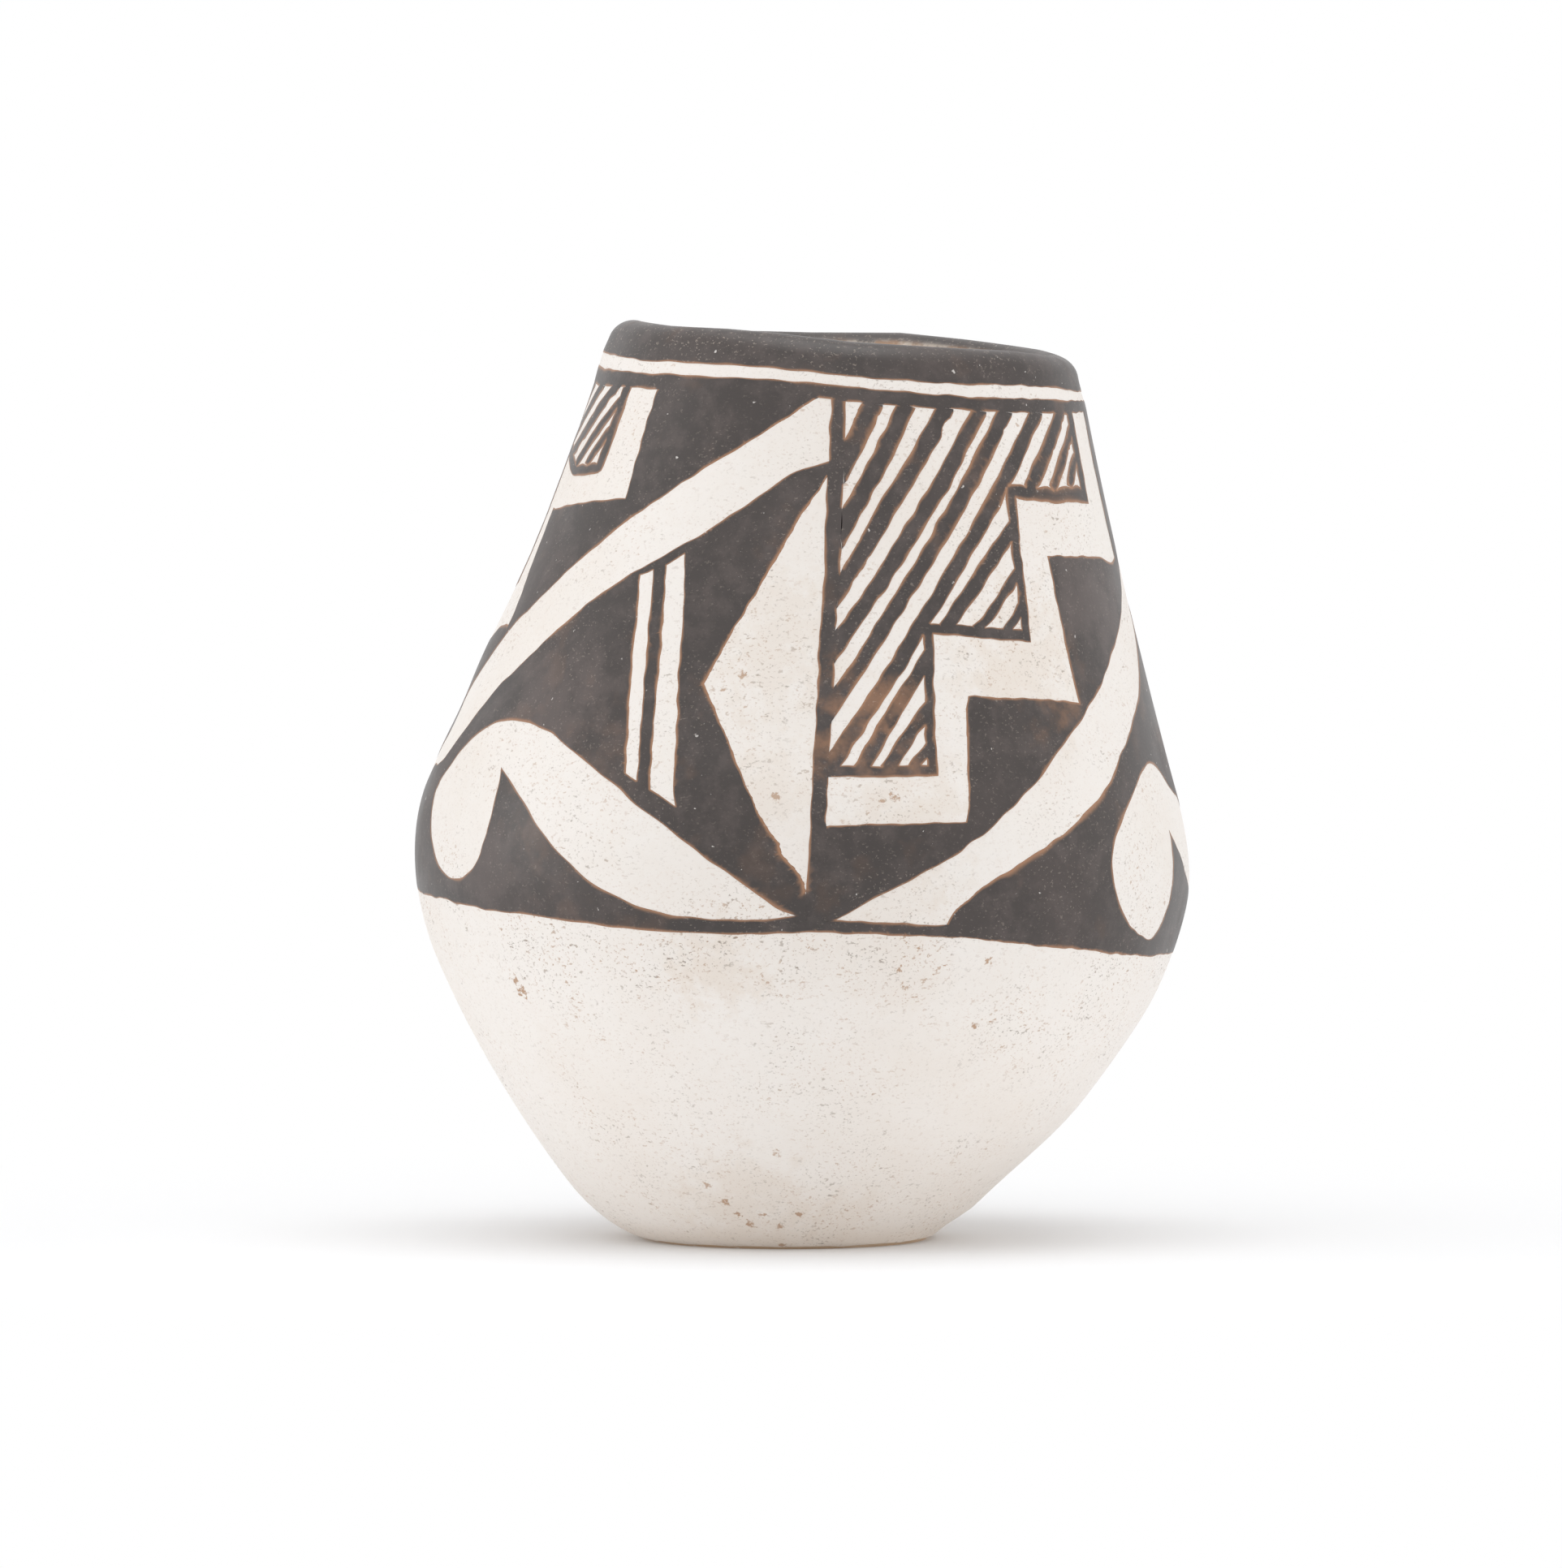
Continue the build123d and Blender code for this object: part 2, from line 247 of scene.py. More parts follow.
# Uneven waves: seed, longest and shortest wave, and how many make up each
SWAY_ACROSS = (4, 0.016, 0.0018)
SWAY_UP = (3, 0.016, 0.0018)
RAGGED_WAVES = (6, 0.03, 0.004)
RIDGE_WAVES = (8, 0.02, 0.006)
WAVE_COUNT = 14

# Height of the ragged edge of the slip inside the mouth, and how far up it reaches
RAGGED_EDGE = 0.0012
RAGGED_REACH = 0.004

# Steps of the slip's section over the foot, the wall, the lip and the inside, on its face and its back
FACE_STEPS = (9, 96, 14, 10)
BACK_STEPS = (5, 40, 7, 4)

# Longest edges in a film, as shares of the paint's mesh, with none, one or both ends on its border
EDGE_SHARES = (1.0, 0.75, 0.5)

# Most rounds of splitting edges, and the angle from which an edge is shaded sharp
SPLIT_ROUNDS = 8
SHARP_EDGE = radians(40)

# Where each edge of a border is sampled, and how many samples give the way out of a film
BORDER_SAMPLES = (0.0, 0.2, 0.4, 0.6, 0.8, 1.0)
WAY_SAMPLES = 10

# Distances within which corners and seams are one, films run into each other and points lie on the floor
CORNER_REACH = 2e-7
SEAM_REACH = 1e-6
JOINT_REACH = 0.00015
FLOOR_REACH = 0.00002


class JarShape(bpy.types.PropertyGroup):
    """Sizes of the jar, on the face of the slip."""

    lean: FloatProperty(name="Lean", description="Lean of the axis", default=radians(5.1), subtype="ANGLE")
    belly_radius: FloatProperty(
        name="Belly radius", description="Widest radius", default=0.0375, unit="LENGTH")
    belly_height: FloatProperty(
        name="Belly height", description="Height of the belly", default=0.037, unit="LENGTH")
    bend_radius: FloatProperty(
        name="Bend radius", description="Radius of the belly's bend", default=0.027, unit="LENGTH")
    bend_below: FloatProperty(
        name="Bend below", description="Turn of the bend below", default=radians(28), subtype="ANGLE")
    bend_above: FloatProperty(
        name="Bend above", description="Turn of the bend above", default=radians(21), subtype="ANGLE")
    foot_radius: FloatProperty(
        name="Foot radius", description="Radius the wall aims at on the floor", default=0.0161, unit="LENGTH")
    foot_rounding: FloatProperty(
        name="Foot rounding", description="Rounding of the foot", default=0.0105, unit="LENGTH")
    sole_radius: FloatProperty(
        name="Sole radius", description="Reach of the sole on its high side", default=0.0127, unit="LENGTH")
    mouth_radius: FloatProperty(
        name="Mouth radius", description="Radius at the rim", default=0.0224, unit="LENGTH")
    wall_height: FloatProperty(
        name="Wall height", description="Height of the rim", default=0.0869, unit="LENGTH")
    clay_thickness: FloatProperty(
        name="Clay", description="Thickness of the clay wall", default=0.0036, unit="LENGTH")
    slip_thickness: FloatProperty(
        name="Slip", description="Thickness of the slip", default=0.0004, unit="LENGTH")
    slip_inside: FloatProperty(
        name="Slip inside", description="Reach of the slip into the mouth", default=0.008, unit="LENGTH")
    slip_clearance: FloatProperty(
        name="Slip clearance", description="Height of the slip over the floor", default=0.0003, unit="LENGTH")
    paint_thickness: FloatProperty(
        name="Paint", description="Thickness of the paint in the model", default=0.00012, unit="LENGTH")
    paint_relief: FloatProperty(
        name="Paint relief", description="Height of the paint on the slip", default=0.00005, unit="LENGTH")
    thin_edge: FloatProperty(
        name="Thin edge", description="Width of the thin border of the paint", default=0.00033, unit="LENGTH")
    paint_mesh: FloatProperty(
        name="Paint mesh", description="Longest edge in the mesh of the paint", default=0.0006, unit="LENGTH")
    clay_mesh: FloatProperty(
        name="Clay mesh", description="Longest edge in the mesh of the clay", default=0.0024, unit="LENGTH")
    brush_sway: FloatProperty(
        name="Brush sway", description="Sway of a brushed edge", default=0.00007, unit="LENGTH")
    lumps: FloatProperty(
        name="Lumps", description="Unevenness of the hand-built wall", default=0.00013, unit="LENGTH")
    finger_ridges: FloatProperty(
        name="Finger ridges", description="Ridges left on the coils inside", default=0.0003, unit="LENGTH")
    turns: IntProperty(name="Turns", description="Steps of the slip round the axis", default=256, min=32)


class JarFinish(bpy.types.PropertyGroup):
    """Colours of the jar."""

    slip: FloatVectorProperty(
        name="Slip", description="White slip", default=(0.835, 0.793, 0.752), subtype="COLOR")
    stain: FloatVectorProperty(
        name="Stain", description="Warm stains in the slip", default=(0.70, 0.595, 0.495), subtype="COLOR")
    speck: FloatVectorProperty(
        name="Specks", description="Dark specks in the slip", default=(0.27, 0.21, 0.165), subtype="COLOR")
    rust: FloatVectorProperty(
        name="Rust", description="Rusty marks", default=(0.42, 0.25, 0.145), subtype="COLOR")
    paint: FloatVectorProperty(
        name="Paint", description="Black mineral paint", default=(0.044, 0.035, 0.032), subtype="COLOR")
    # Rubbed paint, also laid on as a painted sheen in the grey places
    worn_paint_and_sheen: FloatVectorProperty(
        name="Worn paint", description="Rubbed paint", default=(0.120, 0.094, 0.087), subtype="COLOR")
    thin_paint: FloatVectorProperty(
        name="Thin paint", description="Paint where it is thin", default=(0.36, 0.185, 0.10), subtype="COLOR")
    clay: FloatVectorProperty(
        name="Clay", description="Bare fired clay", default=(0.62, 0.46, 0.32), subtype="COLOR")
    clay_dark: FloatVectorProperty(
        name="Dark clay", description="Smoked clay", default=(0.34, 0.255, 0.19), subtype="COLOR")


class JarStage(bpy.types.PropertyGroup):
    """Camera, floor and light."""

    eye: FloatVectorProperty(
        name="Eye", description="Place of the camera", default=(-0.002, -1.5, 0.1096), subtype="TRANSLATION")
    aim: FloatVectorProperty(
        name="Aim", description="Point that it looks at", default=(-0.002, 0, 0.0442), subtype="TRANSLATION")
    lens: FloatProperty(name="Lens", description="Focal length in millimetres", default=354.5)
    floor_size: FloatProperty(name="Floor", description="Side of the floor", default=8.0, unit="LENGTH")
    sky: FloatProperty(name="Sky", description="Strength of the even light", default=0.57)
    top_light: FloatProperty(
        name="Top light", description="Power of the lamp above", default=5.6, unit="POWER")
    side_light: FloatProperty(
        name="Side light", description="Power of the side lamps", default=3.6, unit="POWER")
    floor_glow: FloatProperty(name="Floor glow", description="What lifts the floor to white", default=0.14)
    shadow_reach: FloatProperty(
        name="Shadow reach", description="How far off the floor is plain white", default=0.13, unit="LENGTH")


# Outline of the jar

class Outline:
    """The jar's section in radius and height: a rounded foot, the wall's three arcs and the lip."""

    def __init__(self, shape):
        below = Vector((cos(shape.bend_below), -sin(shape.bend_below)))
        above = Vector((cos(shape.bend_above), sin(shape.bend_above)))
        self.belly_centre = Vector((shape.belly_radius - shape.bend_radius, shape.belly_height))
        self.bend_radius = shape.bend_radius
        self.bend_bottom = self.belly_centre + below * shape.bend_radius
        self.bend_top = self.belly_centre + above * shape.bend_radius
        self.rim = Vector((shape.mouth_radius, shape.wall_height))
        self.lower = tangent_arc(self.bend_bottom, below, Vector((shape.foot_radius, 0)))
        self.upper = tangent_arc(self.bend_top, above, self.rim)
        self.rim_normal = (self.rim - self.upper[0]).normalized()
        if self.upper[1] < 0:
            self.rim_normal.negate()
        self.rim_up = Vector((-self.rim_normal.y, self.rim_normal.x))
        self.lip_radius = shape.clay_thickness / 2 + shape.slip_thickness
        self.lip_centre = self.rim - self.rim_normal * self.lip_radius
        self.sole = -shape.sole_radius * tan(shape.lean)
        self.foot_rounding = shape.foot_rounding

    def foot(self, depth):
        """The centre and radius of the foot's rounding, and the height where the wall takes over."""
        rounding = self.foot_rounding - depth
        centre, wall_radius = self.lower[0], self.lower[1] - depth
        height = self.sole + rounding
        across = sqrt((wall_radius - rounding) ** 2 - (height - centre.y) ** 2)
        middle = Vector((centre.x + across, height))
        meeting = centre + (middle - centre).normalized() * wall_radius
        return middle, rounding, meeting.y

    def radius(self, height, depth=0.0):
        """The radius of the wall at heights, a depth under the face of the slip."""
        height = np.asarray(height, float)
        middle, rounding, foot_top = self.foot(depth)
        bend = (self.belly_centre, self.bend_radius)
        lower, belly, upper = (arc_radius(arc, height, depth) for arc in (self.lower, bend, self.upper))
        round_part = middle.x + np.sqrt(np.maximum(rounding**2 - (height - middle.y) ** 2, 0))
        wall = np.where(height < self.bend_bottom.y, lower, np.where(height < self.bend_top.y, belly, upper))
        return np.where(height < foot_top, round_part, wall)

    def normal(self, height):
        """The outward normal of the wall at heights, as its radial and axial parts."""
        step = 1e-5
        slope = (self.radius(height + step) - self.radius(height - step)) / (2 * step)
        length = np.sqrt(1 + slope**2)
        return 1 / length, -slope / length

    def from_lip(self, radius, height):
        """The way from the middle of the lip to radii and heights."""
        return np.stack((radius - self.lip_centre.x, height - self.lip_centre.y), 1)


def tangent_arc(start, normal, end):
    """The centre and signed radius of an arc that leaves a start square to a normal and meets an end."""
    chord = end - start
    signed_radius = -chord.dot(chord) / (2 * chord.dot(normal))
    return start - normal * signed_radius, signed_radius


def arc_radius(arc, height, depth):
    """How far an arc of the wall is from the axis at heights."""
    centre, signed_radius = arc
    side = 1 if signed_radius > 0 else -1
    squared = (signed_radius - depth) ** 2 - (height - centre.y) ** 2
    return centre.x + side * np.sqrt(np.maximum(squared, 0))


# Places on the jar

def jar_axis(shape):
    """The foot of the axis, its direction and the direction that leans down towards +X."""
    up = np.array((sin(shape.lean), 0, cos(shape.lean)))
    across = np.array((cos(shape.lean), 0, -sin(shape.lean)))
    foot = np.array((-shape.belly_height * tan(shape.lean), 0, 0))
    return foot, up, across


def to_jar(shape, points):
    """Angle, radius and height of points."""
    foot, up, across = jar_axis(shape)
    offset = points - foot
    sideways = offset @ across
    forward = -offset[:, 1]
    return np.arctan2(sideways, forward), np.hypot(sideways, forward), offset @ up


def from_jar(shape, angle, radius, height):
    """Points at angles, radii and heights."""
    foot, up, across = jar_axis(shape)
    sideways = (radius * np.sin(angle))[:, None] * across
    forward = (radius * np.cos(angle))[:, None] * np.array((0, -1, 0))
    return foot + sideways + forward + height[:, None] * up


def round_the_jar(table, angle):
    """A value in metres at angles, from a table of degrees and millimetres that closes on itself."""
    degrees = [entry[0] for entry in table]
    values = [entry[1] for entry in table]
    return np.interp(np.degrees(angle), degrees, values, period=360) / 1000


def ease(value, low, high):
    """0 below low, 1 above high and a smooth step between."""
    share = np.clip((value - low) / (high - low), 0, 1)
    return share * share * (3 - 2 * share)


def nearness(angle, height, radius, degrees, level, reach):
    """1 at a place of a table, fading to 0 beyond its reach, at angles and heights on a radius."""
    turn = (angle - radians(degrees) + pi) % (2 * pi) - pi
    gap = np.hypot(turn * radius, height - level / 1000) / (reach / 1000)
    return np.exp(-gap**2)


def waves(points, seed, longest, shortest):
    """An uneven field over points, about -1 to 1, of waves between two lengths."""
    draw = np.random.default_rng(seed)
    total = np.zeros(len(points))
    for length in np.geomspace(longest, shortest, WAVE_COUNT):
        direction = draw.normal(size=3)
        direction /= np.linalg.norm(direction)
        total += np.sin(2 * pi * (points @ direction) / length + draw.uniform(0, 2 * pi))
    return total / sqrt(WAVE_COUNT / 2)


def hand_lumps(shape, angle, height):
    """How far the lumps of the wall stand out at angles and heights."""
    count, start, rise, first_row = ROW_LUMPS
    lump = np.sin(count * angle + start) * np.sin(height / (rise / 1000) + first_row)
    for strength, count, start, rise in WINDING_LUMPS:
        lump += strength * np.sin(count * angle + start + height / (rise / 1000))
    return lump * shape.lumps * ease(height, *LUMPS_START)


def hand_presses(angle, radius, height):
    """How far the foot and the wall are pressed in at angles, radii and heights."""
    press = np.zeros(len(angle))
    for side, depth, start, whole, fade, end in FOOT_PRESSES:
        on_side = np.clip(side * np.sin(angle), 0, 1) ** 2
        rising = ease(height, start / 1000, whole / 1000)
        press += depth / 1000 * on_side * rising * (1 - ease(height, fade / 1000, end / 1000))
    for degrees, level, reach, depth in DENTS:
        press += depth / 1000 * nearness(angle, height, radius, degrees, level, reach)
    return press * ease(radius, *PRESS_START)


def hand_built(shape, points):
    """Moves points as the potter's hand moved the clay: low lumps, a wavy lip and a foot pressed in."""
    angle, radius, height = to_jar(shape, points)
    new_radius = radius + hand_lumps(shape, angle, height) - hand_presses(angle, radius, height)
    rise = round_the_jar(LIP_RISE, angle) * ease(height, shape.wall_height - LIP_WAVES, shape.wall_height)
    moved = from_jar(shape, angle, new_radius, height + rise)
    on_floor = points[:, 2] < FLOOR_REACH
    moved[:, 2] = np.where(on_floor, points[:, 2], np.maximum(moved[:, 2], 0))
    return moved


# Modelling

def select_only(piece):
    """Makes a piece the only selected and the active one."""
    bpy.ops.object.select_all(action="DESELECT")
    piece.select_set(True)
    bpy.context.view_layer.objects.active = piece


def read_points(piece):
    """The places of a piece's vertices."""
    flat = np.empty(len(piece.data.vertices) * 3)
    piece.data.vertices.foreach_get("co", flat)
    return flat.reshape(-1, 3)


def write_points(piece, points):
    """Moves a piece's vertices."""
    piece.data.vertices.foreach_set("co", points.ravel())
    piece.data.update()


def mark_points(piece, name, values):
    """Keeps a value for each vertex, for the material to read."""
    attribute = piece.data.attributes.new(name, "FLOAT", "POINT")
    attribute.data.foreach_set("value", np.asarray(values, np.float32))


def copy_node(node, name):
    """A piece that starts as the shape of a CAD node, with its triangles joined."""
    piece = bpy.data.objects.new(name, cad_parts[node].data.copy())
    piece.data.name = name
    piece.data.materials.clear()
    bpy.context.scene.collection.objects.link(piece)
    select_only(piece)
    bpy.ops.object.mode_set(mode="EDIT")
    bpy.ops.mesh.select_all(action="SELECT")
    bpy.ops.mesh.remove_doubles(threshold=CORNER_REACH)
    bpy.ops.object.mode_set(mode="OBJECT")
    return piece


def split_edges(piece, long_edges):
    """Subdivides a piece until a test of its mesh finds no more long edges."""
    select_only(piece)
    bpy.ops.object.mode_set(mode="EDIT")
    bpy.ops.mesh.select_mode(type="EDGE")
    for _ in range(SPLIT_ROUNDS):
        bpy.ops.mesh.select_all(action="DESELECT")
        mesh = bmesh.from_edit_mesh(piece.data)
        found = long_edges(mesh)
        if not found:
            break
        for edge in found:
            edge.select_set(True)
        bpy.ops.mesh.subdivide(number_cuts=1, quadcorner="INNERVERT")
    bpy.ops.object.mode_set(mode="OBJECT")


def dress(piece, node, material):
    """Gives a piece its finish and puts it in the place of a CAD node."""
    select_only(piece)
    bpy.ops.object.shade_smooth_by_angle(angle=SHARP_EDGE)
    piece.data.materials.clear()
    piece.data.materials.append(material)
    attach(piece, "root")
    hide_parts(node)


# Clay

def clay_piece(shape, outline, node, material):
    """One ring or the base of the clay body, with the ridges of the fingers inside."""
    piece = copy_node(node, "clay_" + node)
    split_edges(piece, lambda mesh: [edge for edge in mesh.edges if edge.calc_length() > shape.clay_mesh])
    points = read_points(piece)
    angle, radius, height = to_jar(shape, points)
    inside = outline.radius(height) - radius > shape.slip_thickness + shape.clay_thickness * INNER_FACE
    ridge = np.cos(2 * pi * (height - FIRST_RIDGE) / COIL_HEIGHT)
    ridge += RIDGE_UNEVEN * waves(points, *RIDGE_WAVES)
    ridge *= shape.finger_ridges * (1 - ease(height, *RIDGES_END)) * ease(height, *RIDGES_START)
    ridged = from_jar(shape, angle, radius - np.where(inside, ridge, 0), height)
    write_points(piece, hand_built(shape, np.where(inside[:, None], ridged, points)))
    dress(piece, node, material)


# Slip

def section_side(shape, outline, depth, lining, steps):
    """One side of the slip's section, from the sole up the wall, over the lip and down the lining."""
    foot_steps, wall_steps, lip_steps, inside_steps = steps
    middle, rounding, foot_top = outline.foot(depth)
    side = []
    finish = atan2(foot_top - middle.y, outline.radius(foot_top, depth) - middle.x)
    for turn in np.linspace(-pi / 2, finish, foot_steps, endpoint=False):
        side.append((middle.x + rounding * cos(turn), middle.y + rounding * sin(turn)))
    wall_top = (outline.rim - outline.rim_normal * depth).y
    for height in np.linspace(foot_top, wall_top, wall_steps, endpoint=False):
        side.append((float(outline.radius(height, depth)), height))
    for turn in np.linspace(0, pi, lip_steps):
        way = outline.rim_normal * cos(turn) + outline.rim_up * sin(turn)
        side.append(tuple(outline.lip_centre + way * (outline.lip_radius - depth)))
    for height in np.linspace(side[-1][1], shape.wall_height - shape.slip_inside, inside_steps)[1:]:
        side.append((float(outline.radius(height, lining)), height))
    return side


def slip_section(shape, outline):
    """The closed section of the slip: its face, and its back the other way."""
    wall = shape.slip_thickness + shape.clay_thickness
    face = section_side(shape, outline, 0, wall + shape.slip_thickness, FACE_STEPS)
    back = section_side(shape, outline, shape.slip_thickness, wall, BACK_STEPS)
    return face + back[::-1]


def spin_section(shape, section, name):
    """A ring made by turning a closed section round the jar's axis."""
    foot, up, across = jar_axis(shape)
    bpy.ops.object.select_all(action="DESELECT")
    bpy.ops.mesh.primitive_circle_add(vertices=len(section), radius=shape.mouth_radius, fill_type="NOTHING")
    piece = bpy.context.object
    piece.name = name
    piece.data.name = name
    write_points(piece, np.array([foot + across * radius + up * height for radius, height in section]))
    bpy.ops.object.mode_set(mode="EDIT")
    bpy.ops.mesh.select_all(action="SELECT")
    bpy.ops.mesh.spin(steps=shape.turns, angle=2 * pi, center=tuple(foot), axis=tuple(up))
    bpy.ops.mesh.select_all(action="SELECT")
    bpy.ops.mesh.remove_doubles(threshold=SEAM_REACH)
    bpy.ops.mesh.normals_make_consistent(inside=False)
    bpy.ops.object.mode_set(mode="OBJECT")
    return piece


def cut_over_floor(shape):
    """Cuts the active piece off just over the floor."""
    bpy.ops.object.mode_set(mode="EDIT")
    bpy.ops.mesh.select_all(action="SELECT")
    bpy.ops.mesh.bisect(
        plane_co=(0, 0, shape.slip_clearance), plane_no=(0, 0, 1), use_fill=True, clear_inner=True)
    bpy.ops.object.mode_set(mode="OBJECT")


def slip_piece(shape, outline, material):
    """The skin of slip, with a ragged edge inside the mouth."""
    piece = spin_section(shape, slip_section(shape, outline), "slip_skin")
    cut_over_floor(shape)
    points = read_points(piece)
    angle, radius, height = to_jar(shape, points)
    depth = outline.radius(height) - radius
    lined = ease(depth, shape.clay_thickness * LINING_START, shape.clay_thickness)
    inside = np.where(height > outline.lip_centre.y, 0.0, lined)
    low = shape.wall_height - shape.slip_inside
    ragged = RAGGED_EDGE * waves(points, *RAGGED_WAVES) * inside
    ragged *= 1 - ease(height, low, low + RAGGED_REACH)
    write_points(piece, hand_built(shape, from_jar(shape, angle, radius, height + ragged)))
    mark_points(piece, "inside", inside)
    dress(piece, "white_slip", material)


# Paint

def outer_side(shape, outline, points):
    """How far points stand out from the face of the slip, and which of them are over the lip."""
    _, radius, height = to_jar(shape, points)
    from_lip = outline.from_lip(radius, height)
    over_lip = from_lip @ np.array(outline.rim_up) > 0
    axial = np.where(over_lip, outline.lip_centre.y, height)
    wall = (radius - outline.radius(axial)) * outline.normal(axial)[0]
    return np.where(over_lip, np.linalg.norm(from_lip, axis=1) - outline.lip_radius, wall), over_lip


def on_face(polygon, face):
    """Whether all corners of a polygon are on the face of its film."""
    return all(face[corner.index] for corner in polygon.verts)


def within_face(edge, face):
    """Whether both ends of an edge and the polygons beside it are on the face of its film."""
    ends = all(face[vertex.index] for vertex in edge.verts)
    return ends and all(on_face(polygon, face) for polygon in edge.link_faces)


def film_border(mesh, shape, outline):
    """Which vertices are on the face of a film, and which of those are on its border."""
    mesh.verts.ensure_lookup_table()
    stands, _ = outer_side(shape, outline, np.array([vertex.co for vertex in mesh.verts]))
    mesh.verts.index_update()
    face = stands > shape.paint_thickness / 2
    border = np.zeros(len(face), bool)
    for polygon in mesh.faces:
        if not on_face(polygon, face):
            border[[corner.index for corner in polygon.verts]] = True
    return face, face & border


def film_edges(shape, outline):
    """A test that finds the long edges of a film, stricter next to the border of its face."""
    def long_edges(mesh):
        face, border = film_border(mesh, shape, outline)
        found = []
        for edge in mesh.edges:
            on_border = sum(int(border[vertex.index]) for vertex in edge.verts)
            share = EDGE_SHARES[on_border] if within_face(edge, face) else 1.0
            if edge.calc_length() > shape.paint_mesh * share:
                found.append(edge)
        return found
    return long_edges


def film_trees():
    """A search tree for each painted node, by name."""
    trees = {}
    for name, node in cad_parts.items():
        if name.startswith(LINES + FIGURES):
            corners = [vertex.co.copy() for vertex in node.data.vertices]
            trees[name] = BVHTree.FromPolygons(corners, [tuple(face.vertices) for face in node.data.polygons])
    return trees


def open_border(piece, node, shape, outline, trees):
    """Places along a film's border that run into no other film, and the way out of the film at each."""
    mesh = bmesh.new()
    mesh.from_mesh(piece.data)
    face, border = film_border(mesh, shape, outline)
    others = [tree for name, tree in trees.items() if name != node]
    places = []
    ways_out = []
    for edge in mesh.edges:
        start, end = edge.verts
        if not (border[start.index] and border[end.index]) or within_face(edge, face):
            continue
        middle = (start.co + end.co) / 2
        if any(tree.find_nearest(middle, JOINT_REACH)[0] for tree in others):
            continue
        side = min(edge.link_faces, key=lambda polygon: sum(face[corner.index] for corner in polygon.verts))
        places += [start.co.lerp(end.co, share) for share in BORDER_SAMPLES]
        ways_out += [tuple(side.normal)] * len(BORDER_SAMPLES)
    mesh.free()
    return places, np.array(ways_out)


def load_strokes(piece, node, shape, outline, finder, ways_out, gaps):
    """Moves the border of a film out where a loaded brush drew it wider, and keeps it on the wall."""
    points = read_points(piece)
    _, radius, height = to_jar(shape, points)
    for figure, low, high, wider in LOADED_STROKES:
        if node.startswith(figure):
            near = [[found[1] for found in finder.find_n(point, WAY_SAMPLES)] for point in points]
            way_out = ways_out[near].mean(1)
            load = wider / 1000 * ease(height, low / 1000, high / 1000)
            load *= np.clip(1 - gaps / shape.paint_mesh, 0, 1)
            new_angle, _, new_height = to_jar(shape, points + way_out * load[:, None])
            new_radius = radius + outline.radius(new_height) - outline.radius(height)
            write_points(piece, from_jar(shape, new_angle, new_radius, new_height))


def mark_border(piece, node, shape, outline, trees):
    """Marks how full the paint is, from none at a film's open border, and widens its loaded strokes."""
    places, ways_out = open_border(piece, node, shape, outline, trees)
    finder = KDTree(len(places))
    for index, place in enumerate(places):
        finder.insert(place, index)
    finder.balance()
    points = read_points(piece)
    angle, _, height = to_jar(shape, points)
    gaps = np.array([finder.find(point)[2] for point in points]) if places else np.ones(len(points))
    load_strokes(piece, node, shape, outline, finder, ways_out, gaps)
    width = np.full(len(gaps), shape.thin_edge)
    for figure, degrees, level, reach, wider in DRY_EDGES:
        if node.startswith(figure):
            radius = outline.radius(level / 1000)
            width *= 1 + wider * nearness(angle, height, radius, degrees, level, reach)
    full = np.clip(gaps / width, 0, 1)
    for figure, degrees, level, reach in BLOTS:
        if node.startswith(figure):
            near = nearness(angle, height, outline.radius(level / 1000), degrees, level, reach)
            full = np.maximum(full, ease(near, *BLOT_EDGE))
    mark_points(piece, "full_paint", full)


def figure_slips(node, outline, angle, height):
    """How far a figure's paint at angles and heights was drawn out of its place, across and up."""
    across = np.zeros(len(angle))
    up = np.zeros(len(angle))
    for figure, degrees, level, reach, slip_across, slip_up in FIGURE_SLIPS:
        if node.startswith(figure):
            near = nearness(angle, height, outline.radius(level / 1000), degrees, level, reach)
            across += near * slip_across / 1000
            up += near * slip_up / 1000
    return across, up


def brush_stray(angle, height):
    """How far up the brush strayed at angles and heights, between the strays above and below."""
    levels = [level / 1000 for level, _ in STRAYS]
    moves = np.stack([round_the_jar(table, angle) for _, table in STRAYS])
    place = np.interp(height, levels, range(len(levels)))
    below = np.minimum(place.astype(int), len(levels) - 2)
    share = place - below
    columns = np.arange(len(angle))
    return moves[below, columns] * (1 - share) + moves[below + 1, columns] * share


